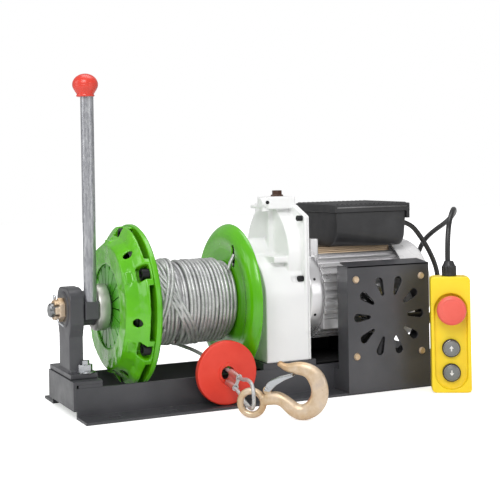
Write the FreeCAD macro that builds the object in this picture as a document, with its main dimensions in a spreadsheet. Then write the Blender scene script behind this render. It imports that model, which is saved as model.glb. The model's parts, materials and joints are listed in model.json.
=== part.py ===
import FreeCAD, Part
import math
import os
import Sketcher
from types import SimpleNamespace

# Electric drum winch with a hand-operated clutch, a geared motor and a push-button pendant.
# Millimetres. Origin: centre of the foot slots, on the floor plane.
# +X runs along the drum shaft towards the motor, +Y to the back, +Z up.

SIZES = {
    # Base frame
    "base_length": 640,
    "base_width": 138,
    "rail_web_height": 45.4,
    "rail_foot_width": 46.6,
    "rail_wall": 4,
    "end_wall": 5,
    "end_leg": 45,
    "end_web_drop": 11.7,
    "packer_height": 4.9,
    "foot_slot_spacing_x": 528,
    "foot_slot_inner_x": 350,
    "foot_slot_width": 9,
    "foot_slot_length": 22,
    "foot_slot_inset": 24,
    "bed_lead": 6.5,
    "bed_length": 95,
    # Drum shaft and its stand
    "axis_height": 156,
    "stand_offset": 8,
    "stand_thickness": 21,
    "stand_boss_radius": 34,
    "stand_bar_width": 40,
    "stand_plate_height": 7.7,
    "stand_plate_front": 49,
    "stand_plate_back": 69,
    "stand_plate_length": 42,
    "stand_bolt_spacing": 68,
    "stand_bolt_radius": 6,
    "bearing_outer_radius": 26,
    "bearing_width": 15,
    "bearing_ring_wall": 5.5,
    "shaft_radius": 15,
    "shaft_thread_radius": 11,
    "shaft_overhang": 17,
    "nut_width": 32,
    "nut_height": 16,
    "nut_castle": 7,
    "nut_slot": 5,
    "pin_radius": 1.8,
    "fit": 0.05,
    "gap": 0.3,
    # Clutch lever
    "hub_length": 22,
    "hub_radius": 27,
    "lever_block": 22,
    "lever_block_height": 27,
    "lever_offset": 29,
    "lever_rod_radius": 10,
    "lever_rod_top": 484,
    "lever_ball_radius": 20,
    "lever_neck_radius": 14,
    "sleeve_length": 5.5,
    "sleeve_radius": 31,
    "release_length": 15,
    "release_radius": 38,
    "release_travel": 4,
    # Clutch
    "disc_radius": 127,
    "disc_wall": 9,
    "cover_depth": 38,
    "cover_wall": 2.6,
    "cover_opening": 66,
    "cover_face_radius": 97,
    "cover_shoulder_radius": 109,
    "cover_rim_radius": 124,
    "cover_rim_height": 11,
    "cover_screw_circle": 112,
    "cover_screw_radius": 6,
    "cover_screw_head": 9,
    "cover_screw_count": 6,
    "cover_foot_width": 46,
    "cover_pocket_width": 25,
    "diaphragm_wall": 2.2,
    "diaphragm_radius": 92,
    "diaphragm_root": 70,
    "diaphragm_tip": 24,
    "diaphragm_fingers": 18,
    "plate_inner": 62,
    "plate_outer": 97.5,
    "plate_wall": 14,
    "friction_wall": 8,
    "friction_outer": 97.5,
    "friction_inner": 64,
    "friction_hub": 26,
    # Drum
    "barrel_radius": 45,
    "barrel_wall": 6,
    "barrel_length": 140,
    "flange_radius": 121.5,
    "flange_flat_radius": 92,
    "flange_wall": 4,
    "flange_depth": 28,
    "hub_wall": 18,
    "rope_pack_radius": 68,
    "rope_radius": 3,
    # Gearbox
    "drum_clearance": 28.8,
    "housing_length": 76.5,
    "housing_half_width": 70,
    "housing_wall": 5,
    "dome_radius": 80,
    "dome_length": 30,
    "dome_wall": 6,
    "counter_offset": 20,
    "gear_centres": 72,
    "flange_plate": 6,
    "flange_top": 306,
    "flange_bottom": 100,
    "flange_back": 116,
    "flange_chamfer_y": 27,
    "flange_chamfer_z": 18,
    "cover_plate": 7,
    "gear_width": 14,
    "spindle_radius": 8,
    "top_block_half": 29,
    "top_block_height": 14,
    # Motor
    "motor_radius": 72,
    "motor_fin": 4.5,
    "motor_fin_count": 36,
    "shield_radius": 74.5,
    "shield_length": 22,
    "motor_body_length": 151,
    "fan_cover_radius": 83.5,
    "fan_cover_length": 56,
    "fan_cover_wall": 1.6,
    "rotor_radius": 38,
    "winding_space": 25.5,
    # Terminal box
    "box_length": 134,
    "box_width": 130,
    "box_bottom": 237,
    "box_height": 54,
    "lid_height": 10,
    "box_inset": 27,
    # Guard with its cooling fan
    "guard_inset": 16.5,
    "guard_length": 155.1,
    "guard_height": 202.6,
    "guard_wall": 2,
    "guard_depth": 33,
    "fan_size": 140,
    "fan_depth": 25,
    "fan_hole_spacing": 124,
    "fan_centre_height": 123.3,
    "slot_outer": 59,
    "slot_inner": 38,
    "slot_outer_radius": 7,
    "slot_inner_radius": 3,
    "slot_count": 10,
    # Rope end and hook
    "stop_radius": 49.5,
    "stop_wall": 12,
    "stop_hole": 11,
    "stop_lip": 15,
    "ferrule_pitch": 16,
    "ferrule_length": 22,
    "ferrule_wall": 2.5,
    "hook_eye_radius": 17.5,
    "hook_eye_section": 5,
    # Pendant
    "pendant_width": 64,
    "pendant_height": 193,
    "pendant_depth": 46,
    "pendant_turn": 30.2,
    "mushroom_radius": 23.5,
    "button_radius": 12.5,
    "cable_radius": 4.25,
}

doc = FreeCAD.newDocument("Winch")
sheet = doc.addObject("Spreadsheet::Sheet", "Sizes")
for row, (alias, number) in enumerate(SIZES.items(), start=1):
    sheet.set(f"A{row}", alias)
    sheet.set(f"B{row}", str(number))
    sheet.setAlias(f"B{row}", alias)
doc.recompute()


class Term:
    """A length that knows both its number and the sheet expression behind it."""

    def __init__(self, number, text):
        self.number = float(number)
        self.text = text

    def __add__(self, other):
        other = term(other)
        return Term(self.number + other.number, f"({self.text} + {other.text})")

    def __radd__(self, other):
        return term(other) + self

    def __sub__(self, other):
        other = term(other)
        return Term(self.number - other.number, f"({self.text} - {other.text})")

    def __rsub__(self, other):
        return term(other) - self

    def __mul__(self, factor):
        factor = term(factor)
        return Term(self.number * factor.number, f"({self.text} * {factor.text})")

    def __rmul__(self, factor):
        return term(factor) * self

    def __truediv__(self, factor):
        factor = term(factor)
        return Term(self.number / factor.number, f"({self.text} / {factor.text})")

    def __neg__(self):
        return Term(-self.number, f"(0 - {self.text})")

    def __float__(self):
        return self.number


def term(value):
    """A Term from a Term or a plain number."""
    if isinstance(value, Term):
        return value
    return Term(value, f"({float(value):.6f})")


s = SimpleNamespace(**{alias: Term(number, f"Sizes.{alias}") for alias, number in SIZES.items()})
nodes = {}
ZERO = term(0)
TURN_X = FreeCAD.Rotation(FreeCAD.Vector(0, 1, 0), 90)
TURN_Y = FreeCAD.Rotation(FreeCAD.Vector(1, 0, 0), -90)
UPRIGHT = FreeCAD.Rotation()


def vec(x, y, z):
    """A vector of plain numbers."""
    return FreeCAD.Vector(float(x), float(y), float(z))


def bind(feature, **values):
    """Tie properties of a feature to sheet expressions."""
    for name, value in values.items():
        value = term(value)
        setattr(feature, name, value.number)
        feature.setExpression(name, value.text)


def place(feature, base, rotation=UPRIGHT):
    """Tie the position of a feature to sheet expressions."""
    base = [term(value) for value in base]
    feature.Placement = FreeCAD.Placement(vec(*base), rotation)
    for letter, value in zip("xyz", base):
        feature.setExpression(f"Placement.Base.{letter}", value.text)


def box(name, low, high):
    """A block between two corners."""
    feature = doc.addObject("Part::Box", name)
    low = [term(value) for value in low]
    high = [term(value) for value in high]
    bind(feature, Length=high[0] - low[0], Width=high[1] - low[1], Height=high[2] - low[2])
    place(feature, low)
    return feature


def rod(name, start, radius, length, axis="X"):
    """A cylinder from its start point along +X, +Y or +Z."""
    feature = doc.addObject("Part::Cylinder", name)
    bind(feature, Radius=radius, Height=length)
    rotation = {"X": TURN_X, "Y": TURN_Y, "Z": UPRIGHT}[axis]
    place(feature, start, rotation)
    return feature


def cone(name, start, radius, end_radius, length, axis="X"):
    """A truncated cone from its start point along +X, +Y or +Z."""
    feature = doc.addObject("Part::Cone", name)
    bind(feature, Radius1=radius, Radius2=end_radius, Height=length)
    rotation = {"X": TURN_X, "Y": TURN_Y, "Z": UPRIGHT}[axis]
    place(feature, start, rotation)
    return feature


def group(name, parts):
    """Several solids kept apart in one shape."""
    feature = doc.addObject("Part::Compound", name)
    feature.Links = list(parts)
    return feature


def fuse(name, *parts):
    """One solid from several."""
    feature = doc.addObject("Part::MultiFuse", name)
    feature.Shapes = list(parts)
    feature.Refine = True
    return feature


def cut(name, base, *tools):
    """A solid less one or more others."""
    feature = doc.addObject("Part::Cut", name)
    feature.Base = base
    feature.Tool = tools[0] if len(tools) == 1 else group(name + "_tools", tools)
    feature.Refine = True
    return feature


def ring(name, start, outer, inner, length, axis="X"):
    """A plain ring along one axis."""
    return cut(
        name,
        rod(name + "_outer", start, outer, length, axis),
        rod(name + "_inner", start, inner, length, axis),
    )


def built(name, shape):
    """A feature whose shape is worked out from the sheet's sizes."""
    feature = doc.addObject("Part::Feature", name)
    feature.Shape = shape
    return feature


def node(name, feature):
    """Keep a finished sub-part under the name of its node."""
    feature.Label = name
    nodes[name] = feature
    return feature


def origin_plane(body, role):
    """One of a body's own origin planes."""
    return [item for item in body.Origin.OriginFeatures if item.Role == role][0]


def outline(body, role, points):
    """A closed sketch of straight lines, every corner tied to the sheet."""
    sketch = body.newObject("Sketcher::SketchObject", body.Name + "_sketch")
    sketch.AttachmentSupport = (origin_plane(body, role), [""])
    sketch.MapMode = "FlatFace"
    points = [(term(x), term(y)) for x, y in points]
    count = len(points)
    for index in range(count):
        x0, y0 = points[index]
        x1, y1 = points[(index + 1) % count]
        line = Part.LineSegment(vec(x0, y0, 0), vec(x1, y1, 0))
        sketch.addGeometry(line, False)
    for index in range(count):
        sketch.addConstraint(Sketcher.Constraint("Coincident", index, 2, (index + 1) % count, 1))
    for index, (x, y) in enumerate(points):
        for kind, value, axis in (("DistanceX", x, -2), ("DistanceY", y, -1)):
            if value.text == ZERO.text:
                sketch.addConstraint(Sketcher.Constraint("PointOnObject", index, 1, axis))
                continue
            number = sketch.addConstraint(Sketcher.Constraint(kind, -1, 1, index, 1, value.number))
            sketch.setExpression(f"Constraints[{number}]", value.text)
    return sketch


def turned(name, points, centre):
    """A body turned about the X direction, from (distance along X, radius) corners."""
    body = doc.addObject("PartDesign::Body", name)
    sketch = outline(body, "XY_Plane", points)
    revolution = body.newObject("PartDesign::Revolution", name + "_turn")
    revolution.Profile = sketch
    revolution.ReferenceAxis = (sketch, ["H_Axis"])
    revolution.Angle = 360
    place(body, centre)
    return body


def pressed(name, role, points, length, base=(ZERO, ZERO, ZERO)):
    """A body pushed out from a flat outline on one of the origin planes."""
    body = doc.addObject("PartDesign::Body", name)
    sketch = outline(body, role, points)
    pad = body.newObject("PartDesign::Pad", name + "_pad")
    pad.Profile = sketch
    bind(pad, Length=length)
    place(body, base)
    return body


def rounded(name, feature, radius, choose):
    """A feature with the edges that choose() picks rounded off."""
    doc.recompute()
    radius = term(radius)
    result = doc.addObject("Part::Fillet", name)
    result.Base = feature
    result.Edges = [
        (index, radius.number, radius.number)
        for index, edge in enumerate(feature.Shape.Edges, start=1)
        if choose(edge)
    ]
    return result


def circle_at(x, radius, tolerance=0.01):
    """A test for circles about the X direction at one place along X."""
    x = float(x)
    radius = float(radius)

    def test(edge):
        curve = edge.Curve
        if not isinstance(curve, Part.Circle):
            return False
        return abs(curve.Center.x - x) < tolerance and abs(curve.Radius - radius) < tolerance

    return test


def about_axis(shape, angle, y=0.0, z=0.0):
    """A copy of a shape turned about an X-wise line."""
    copy = shape.copy()
    copy.rotate(vec(0, y, z), vec(1, 0, 0), angle)
    return copy


def hexagon(name, start, width, length, axis="X"):
    """A hexagonal prism with two flats square to Y (or to X when it stands)."""
    feature = doc.addObject("Part::Prism", name)
    feature.Polygon = 6
    bind(feature, Circumradius=width / math.sqrt(3), Height=length)
    place(feature, start, {"X": TURN_X, "Y": TURN_Y, "Z": UPRIGHT}[axis])
    return feature


# Places that many pieces share

left_end = -s.base_length / 2
right_end = s.base_length / 2
half_width = s.base_width / 2
web_top = s.rail_web_height
leg_top = web_top + s.packer_height + s.end_wall
stand_start = left_end + s.stand_offset
stand_end = stand_start + s.stand_thickness
hub_start = stand_end + s.gap
hub_end = hub_start + s.hub_length
sleeve_start = hub_end + s.gap
release_start = sleeve_start + s.sleeve_length
release_end = release_start + s.release_length
finger_face = release_end + s.release_travel + s.gap
cover_face = finger_face - s.cover_wall + 0.9
disc_face = cover_face + s.cover_depth
drum_start = disc_face + s.disc_wall
flange_face = drum_start + s.barrel_length
shaft_axis = (ZERO, ZERO, s.axis_height)
counter_height = s.axis_height.number + math.sqrt(
    s.gear_centres.number ** 2 - s.counter_offset.number ** 2
)
housing_start = flange_face + s.flange_depth + s.drum_clearance
housing_end = housing_start + s.housing_length
gear_cover_end = housing_end + s.cover_plate
bed_start = housing_start - s.bed_lead


# Base frame

def make_rail(name, side):
    """A long angle section: upright web and a foot that points outwards, with four slots."""
    outer = half_width * side
    inner = outer - s.rail_wall * side
    edge = outer + s.rail_foot_width * side
    points = [(inner, 0), (edge, 0), (edge, s.rail_wall), (outer, s.rail_wall), (outer, web_top),
        (inner, web_top)]
    rail = pressed(name + "_section", "YZ_Plane", points, s.base_length - s.end_wall * 2,
                   (left_end + s.end_wall, 0, 0))
    middle = outer + s.foot_slot_inset * side
    tools = []
    for spacing in (s.foot_slot_spacing_x, s.foot_slot_inner_x):
        for way in (-1, 1):
            centre = spacing * way / 2
            reach = (s.foot_slot_length - s.foot_slot_width) / 2
            half = s.foot_slot_width / 2
            tag = f"{name}_slot{len(tools)}"
            tools.append(fuse(
                tag,
                box(tag + "_a", (centre - reach, middle - half, -1),
                    (centre + reach, middle + half, s.rail_wall + 1)),
                rod(tag + "_b", (centre - reach, middle, -1), half, s.rail_wall + 2, "Z"),
                rod(tag + "_c", (centre + reach, middle, -1), half, s.rail_wall + 2, "Z"),
            ))
    return node(name, cut(name + "_cut", rail, *tools))


def make_frame():
    """Two rails, two end angles, a packing strip and the gearbox bed plate."""
    make_rail("frame_rail_front", -1)
    make_rail("frame_rail_rear", 1)
    inner = left_end + s.end_wall
    leg_end = left_end + s.end_leg
    node("frame_end_left", cut(
        "end_left_cut",
        fuse(
            "end_left",
            box("end_left_web", (left_end, -half_width, s.end_web_drop), (inner, half_width, leg_top)),
            box("end_left_leg", (left_end, -half_width, leg_top - s.end_wall),
                (leg_end, half_width, leg_top)),
        ),
        *stand_bolt_holes("end_left_hole", leg_top - s.end_wall - 1, s.end_wall + 2),
    ))
    node("frame_packing_strip", cut(
        "packing_cut",
        box("packing", (inner + 3, -half_width, web_top), (leg_end, half_width, leg_top - s.end_wall)),
        *stand_bolt_holes("packing_hole", web_top - 1, s.packer_height + 2),
    ))
    node("frame_end_right", fuse(
        "end_right",
        box("end_right_web", (right_end - s.end_wall, -half_width, s.end_web_drop),
            (right_end, half_width, web_top + s.end_wall)),
        box("end_right_leg", (right_end - s.end_leg, -half_width, web_top),
            (right_end, half_width, web_top + s.end_wall)),
    ))
    node("gearbox_bed_plate", box(
        "bed_plate",
        (bed_start, -half_width, web_top),
        (bed_start + s.bed_length, half_width, leg_top),
    ))


def stand_bolt_place(side):
    """Where a stand bolt stands."""
    return stand_end + 0.5, s.stand_bolt_spacing * side / 2


def stand_bolt_holes(name, bottom, length):
    """Clearance holes for the two stand bolts."""
    holes = []
    for side in (-1, 1):
        x, y = stand_bolt_place(side)
        holes.append(rod(f"{name}{side + 1}", (x, y, bottom), s.stand_bolt_radius + 0.5, length, "Z"))
    return holes


# Bearing stand

def make_stand():
    """Lollipop-shaped stand on a base plate, its bolts, and the shaft bearing in its boss."""
    plate_left = left_end + 2
    plate = box("stand_plate", (plate_left, -s.stand_plate_front, leg_top),
                (plate_left + s.stand_plate_length, s.stand_plate_back, leg_top + s.stand_plate_height))
    bar = box("stand_bar", (stand_start + 2, -s.stand_bar_width / 2, leg_top),
              (stand_end, s.stand_bar_width / 2, s.axis_height))
    boss = rod("stand_boss", (stand_start, 0, s.axis_height), s.stand_boss_radius, s.stand_thickness)
    lip = rod("stand_lip", (stand_start - 1.5, 0, s.axis_height), s.stand_boss_radius - 5, 3)
    boss = rounded("stand_boss_round", boss, 1.5, circle_at(stand_start, s.stand_boss_radius))
    whole = fuse("stand_whole", plate, bar, boss, lip)
    node("bearing_stand", cut(
        "stand_cut",
        whole,
        rod("stand_bore", (stand_start - 3, 0, s.axis_height), s.bearing_outer_radius,
            s.stand_thickness + 6),
        *stand_bolt_holes("stand_hole", leg_top - 1, s.stand_plate_height + 2),
    ))
    start = stand_start + 3
    inner_outer = s.shaft_thread_radius + s.bearing_ring_wall
    node("stand_bearing_outer_ring", ring(
        "bearing_outer", (start, 0,
            s.axis_height), s.bearing_outer_radius, inner_outer + s.gap, s.bearing_width))
    node("stand_bearing_inner_ring", ring(
        "bearing_inner", (start, 0,
            s.axis_height), inner_outer, s.shaft_thread_radius + s.fit, s.bearing_width))
    bolts, nuts, washers = [], [], []
    grip_bottom = web_top
    plate_top = leg_top + s.stand_plate_height
    for side in (-1, 1):
        x, y = stand_bolt_place(side)
        tag = f"stand_bolt{side + 1}"
        head = hexagon(tag + "_head", (x, y, grip_bottom - 8), 19, 8, "Z")
        shank = rod(tag + "_shank", (x, y, grip_bottom - 4), s.stand_bolt_radius,
                    plate_top - grip_bottom + 4 + 18, "Z")
        bolts.append(fuse(tag, head, shank))
        washers.append(ring(tag + "_washer", (x, y, plate_top), 13, s.stand_bolt_radius + s.fit, 2, "Z"))
        nuts.append(cut(
            tag + "_nut",
            hexagon(tag + "_nut_hex", (x, y, plate_top + 2), 19, 10, "Z"),
            rod(tag + "_nut_bore", (x, y, plate_top + 1), s.stand_bolt_radius + s.fit, 12, "Z"),
        ))
    node("stand_fasteners", group("stand_fasteners_group", bolts + washers + nuts))


# Shaft and its castle nut

shaft_start = left_end - s.shaft_overhang
nut_start = stand_start - s.nut_height
shaft_end = housing_start + 46


def make_shaft():
    """The drum shaft: threaded end, bearing seat, drum length and gear seat."""
    thread_end = stand_end - 2
    shaft = turned("shaft", [
        (shaft_start, 0),
        (shaft_start, s.shaft_thread_radius - 2),
        (shaft_start + 2, s.shaft_thread_radius),
        (thread_end, s.shaft_thread_radius),
        (thread_end, s.shaft_radius),
        (shaft_end, s.shaft_radius),
        (shaft_end, 0),
    ], (0, 0, s.axis_height))
    pin_place = vec(nut_start + s.nut_castle / 2 - 0.3, 0, s.axis_height)
    hole = Part.makeCylinder(s.pin_radius.number + 0.1, 60, pin_place - vec(0, 0, 30))
    hole = about_axis(hole, -30, 0, s.axis_height.number)
    node("drum_shaft", cut("shaft_cut", shaft, built("pin_hole", hole)))


def make_nut():
    """Castle nut with six slots, and the washer behind it."""
    nut = hexagon("nut_hex", (nut_start, 0, s.axis_height), s.nut_width, s.nut_height)
    turn = FreeCAD.Rotation(FreeCAD.Vector(1, 0, 0), 30)
    place(nut, (nut_start, 0, s.axis_height), turn.multiply(TURN_X))
    crown = rod("nut_crown", (nut_start, 0, s.axis_height), s.nut_width / 2 - 1, s.nut_castle)
    base = rod("nut_base", (nut_start + s.nut_castle, 0, s.axis_height), s.nut_width, s.nut_height)
    limit = fuse("nut_limit", crown, base)
    body = doc.addObject("Part::Common", "nut_body")
    body.Base = nut
    body.Tool = limit
    slots = []
    for index in range(3):
        block = Part.makeBox(s.nut_castle.number, s.nut_slot.number, s.nut_width.number * 1.4)
        block.translate(vec(nut_start - 0.01, -s.nut_slot / 2, s.axis_height - s.nut_width * 0.7))
        slots.append(about_axis(block, 90 + 60 * index, 0, s.axis_height.number))
    washer = ring(
        "washer", (stand_start, 0,
            s.axis_height), s.bearing_outer_radius - 5, s.shaft_thread_radius + s.fit, 3)
    nut = cut(
        "nut_cut",
        body,
        built("nut_slots", Part.makeCompound(slots)),
        rod("nut_bore", (nut_start - 1, 0, s.axis_height), s.shaft_thread_radius + s.fit, s.nut_height + 2),
    )
    node("castle_nut", group("castle_nut_and_washer", [nut, washer]))
    make_split_pin()


def make_split_pin():
    """A split pin through nut and shaft: eye on top, one bent leg below."""
    x = (nut_start + s.nut_castle / 2 - 0.3).number
    z = s.axis_height.number
    radius = s.pin_radius.number - 0.1
    reach = s.nut_width.number / 2 + 1.5
    leg = Part.makeCylinder(radius, 2 * reach + 2, vec(x, 0, z - reach - 2))
    elbow = Part.makeSphere(radius, vec(x, 0, z - reach - 2))
    tail = Part.makeCylinder(radius, 10.5, vec(x, 0, z - reach - 2), vec(0.72, 0.1, -0.68))
    eye = Part.makeTorus(3.2, radius, vec(x, 0, z + reach + 3.2), vec(1, 0, 0))
    pin = leg.fuse([elbow, tail, eye]).removeSplitter()
    node("split_pin", built("split_pin_shape", about_axis(pin, -30, 0, z)))


# Clutch lever, release sleeve and bearing

def make_lever():
    """Hub that turns on the shaft, its block, the rod and the ball knob."""
    bore = s.shaft_radius + 0.5
    axis_x = hub_start + s.hub_length / 2
    half = s.lever_block / 2
    block_bottom = s.axis_height - s.lever_block_height / 2
    block_top = block_bottom + s.lever_block_height
    hub = rod("hub", (hub_start, 0, s.axis_height), s.hub_radius, s.hub_length)
    block = box("hub_block", (axis_x - half, -s.lever_offset - half, block_bottom),
                (axis_x + half, -s.lever_offset + half + 4, block_top))
    block = rounded("hub_block_round", block, 1.5,
        lambda edge: edge.CenterOfMass.y < -s.lever_offset.number)
    node("lever_hub", cut(
        "hub_cut",
        fuse("hub_whole", hub, block),
        rod("hub_bore", (hub_start - 1, 0, s.axis_height), bore, s.hub_length + 2),
        rod("hub_socket", (axis_x, -s.lever_offset, block_top - 12), s.lever_rod_radius, 40, "Z"),
    ))
    node("lever_rod", rod("lever_rod_bar", (axis_x, -s.lever_offset, block_top - 12), s.lever_rod_radius,
                          s.lever_rod_top - block_top + 12 + 14, "Z"))
    ball_centre = s.lever_rod_top + 15
    ball = doc.addObject("Part::Sphere", "ball")
    bind(ball, Radius=s.lever_ball_radius)
    place(ball, (axis_x, -s.lever_offset, ball_centre))
    neck = rod("ball_neck", (axis_x, -s.lever_offset, s.lever_rod_top), s.lever_neck_radius, 10, "Z")
    node("lever_ball", cut(
        "ball_cut",
        fuse("ball_whole", ball, neck),
        rod("ball_bore", (axis_x, -s.lever_offset, s.lever_rod_top - 6), s.lever_rod_radius, 20, "Z"),
    ))


def make_release():
    """Sleeve and thrust bearing that slide along the shaft."""
    bore = s.shaft_radius + s.fit
    sleeve = ring("sleeve", (sleeve_start, 0, s.axis_height), s.sleeve_radius, bore, s.sleeve_length)
    bearing = turned("bearing_body", [
        (release_start, bore),
        (release_start, s.release_radius - 6),
        (release_start + 4, s.release_radius),
        (release_end - 2, s.release_radius),
        (release_end, s.release_radius - 3),
        (release_end, bore + 8),
        (release_end - 3, bore + 8),
        (release_end - 3, bore),
    ], (0, 0, s.axis_height))
    node("release_bearing", group("release_group", [sleeve, bearing]))


# Clutch

def sector_box(name, angle, x0, x1, r0, r1, width):
    """A block that stands out radially from the shaft at one angle."""
    shape = Part.makeBox(float(x1) - float(x0), float(width), float(r1) - float(r0))
    shape.translate(vec(x0, -float(width) / 2, s.axis_height.number + float(r0)))
    return built(name, about_axis(shape, angle, 0, s.axis_height.number))


def radial_hole(name, angle, x, radius, reach):
    """A round hole that points out radially at one angle."""
    shape = Part.makeCylinder(float(radius), float(reach), vec(x, 0, s.axis_height + 60))
    return built(name, about_axis(shape, angle, 0, s.axis_height.number))


def make_cover():
    """Pressed clutch cover: stepped shell, feet, screw pockets, rim windows and holes."""
    wall = s.cover_wall
    x0 = cover_face
    rim = disc_face - s.cover_rim_height

    def shell_points(offset):
        """The pressing's section, set inwards by an offset."""
        return [
            (x0 + offset, 0),
            (x0 + offset, s.cover_face_radius - offset),
            (x0 + 7 + offset, s.cover_face_radius + 5 - offset),
            (x0 + 17, s.cover_shoulder_radius - offset),
            (rim - 6 + offset, s.cover_rim_radius - 7 - offset),
            (rim - 1 + offset, s.cover_rim_radius - offset),
            (disc_face, s.cover_rim_radius - offset),
            (disc_face, 0),
        ]

    outer = turned("cover_outer", shell_points(ZERO), (0, 0, s.axis_height))
    inner = turned("cover_inner", shell_points(wall), (0, 0, s.axis_height))
    pitch = 360 / SIZES["cover_screw_count"]
    pockets, grown, windows, slots, gaps, holes = [], [], [], [], [], []
    pocket_floor = disc_face - wall
    pocket_wall = s.cover_screw_circle - s.cover_screw_head - 2
    half_gap = pitch / 2
    for index in range(SIZES["cover_screw_count"]):
        foot = pitch * index
        between = foot + half_gap
        pockets.append(sector_box(f"pocket{index}", foot, rim - 9, pocket_floor, pocket_wall, 140,
                                  s.cover_pocket_width))
        grown.append(sector_box(f"pocket_grown{index}", foot, rim - 9 - wall, disc_face + 1,
                                pocket_wall - wall, 140, s.cover_pocket_width + 2 * wall))
        windows.append(sector_box(f"pocket_window{index}", foot, rim - 22, rim - 13, 90, 125, 15))
        slots.append(radial_hole(f"oval{index}", between + 8, x0 + 14, 6, 70))
        holes.append(radial_screw(f"cover_screw_hole{index}", foot, pocket_floor - 1,
                                  s.cover_screw_radius + 0.3, wall + 2))
        chord = 2 * math.pi * s.cover_rim_radius.number * half_gap / 180 - s.cover_foot_width.number
        gaps.append(sector_box(f"rim_gap{index}", between, rim + wall, disc_face + 1, 60, 140, chord))
    outer_cut = cut("cover_outer_cut", outer, *pockets)
    inner_cut = cut("cover_inner_cut", inner, *grown)
    shell = cut("cover_shell", outer_cut, inner_cut)
    opening = rod("cover_opening_tool", (x0 - 1, 0, s.axis_height), s.cover_opening, 12)
    node("clutch_cover", cut("cover_cut", shell, opening, *windows, *slots, *holes, *gaps))


def radial_screw(name, angle, x, radius, length, circle=None):
    """A cylinder along X on the cover's screw circle."""
    circle = float(circle or s.cover_screw_circle)
    shape = Part.makeCylinder(float(radius), float(length), vec(x, 0, s.axis_height.number + circle),
        vec(1, 0, 0))
    return built(name, about_axis(shape, angle, 0, s.axis_height.number))


def make_cover_screws():
    """Six socket-head screws that clamp the cover's feet to the drum disc."""
    screws = []
    pitch = 360 / SIZES["cover_screw_count"]
    head_start = disc_face - s.cover_wall - 12
    for index in range(SIZES["cover_screw_count"]):
        z = s.axis_height.number + s.cover_screw_circle.number
        head = Part.makeCylinder(s.cover_screw_head.number, 12, vec(head_start, 0, z), vec(1, 0, 0))
        shank = Part.makeCylinder(s.cover_screw_radius.number, s.cover_wall.number + s.disc_wall.number + 1,
                                  vec(head_start + 11.9, 0, z), vec(1, 0, 0))
        socket = Part.makeCylinder(5, 6, vec(head_start - 0.01, 0, z), vec(1, 0, 0))
        screw = head.fuse(shank).cut(socket).removeSplitter()
        screws.append(about_axis(screw, pitch * index, 0, s.axis_height.number))
    node("clutch_cover_screws", built("cover_screws", Part.makeCompound(screws)))


def make_diaphragm():
    """Dished spring with slotted fingers; each slot ends in a round keyhole."""
    wall = s.diaphragm_wall
    x_rim = cover_face + s.cover_wall + s.gap
    disc = turned("diaphragm_disc", [
        (x_rim, s.diaphragm_radius),
        (x_rim, s.diaphragm_root),
        (finger_face, s.diaphragm_tip + 12),
        (finger_face, s.diaphragm_tip),
        (finger_face + wall, s.diaphragm_tip),
        (finger_face + wall, s.diaphragm_tip + 12),
        (x_rim + wall, s.diaphragm_root),
        (x_rim + wall, s.diaphragm_radius),
    ], (0, 0, s.axis_height))
    slots = []
    count = SIZES["diaphragm_fingers"]
    for index in range(count):
        base = vec(x_rim - 10, 0, s.axis_height + s.diaphragm_root - 8)
        keyhole = Part.makeCylinder(3.2, 20, base, vec(1, 0, 0), 360)
        slit = Part.makeBox(20, 2, s.diaphragm_root.number - 8 - s.diaphragm_tip.number + 8)
        slit.translate(vec(x_rim - 10, -1, s.axis_height + s.diaphragm_tip - 8))
        slots.append(about_axis(keyhole.fuse(slit), 360 / count * (index + 0.5), 0, s.axis_height.number))
    node("diaphragm_spring", cut("diaphragm_cut", disc, built("diaphragm_slots", Part.makeCompound(slots))))


friction_start = disc_face - 0.2 - s.friction_wall
plate_end = friction_start - s.gap
plate_start = plate_end - s.plate_wall


def make_plates():
    """Pressure plate with its fulcrum ring, and the friction disc with its splined hub."""
    plate = turned("plate_body", [
        (plate_start + 5, s.plate_inner),
        (plate_start + 5, s.diaphragm_radius - 8),
        (plate_start + 1.5, s.diaphragm_radius - 6),
        (plate_start + 1.5, s.diaphragm_radius - 3),
        (plate_start + 5, s.diaphragm_radius - 1),
        (plate_start + 5, s.plate_outer),
        (plate_end, s.plate_outer),
        (plate_end, s.plate_inner),
    ], (0, 0, s.axis_height))
    node("pressure_plate", plate)
    lining_wall = s.friction_wall * 0.35
    core_start = friction_start + lining_wall
    core_end = core_start + s.friction_wall - lining_wall * 2
    core = turned("friction_core", [
        (core_start, s.friction_hub - 2),
        (core_start, s.friction_outer - 2),
        (core_end, s.friction_outer - 2),
        (core_end, s.friction_hub - 2),
    ], (0, 0, s.axis_height))
    hub = ring("friction_hub_ring", (friction_start - 14, 0, s.axis_height), s.friction_hub,
               s.shaft_radius + s.fit, s.friction_wall + 12)
    core = fuse("friction_body", core, hub)
    linings = [
        ring(f"lining{index}", (start, 0, s.axis_height), s.friction_outer, s.friction_inner, lining_wall)
        for index, start in enumerate((friction_start, core_end))
    ]
    node("friction_disc", group("friction_group", [core] + linings))


# Drum

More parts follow.
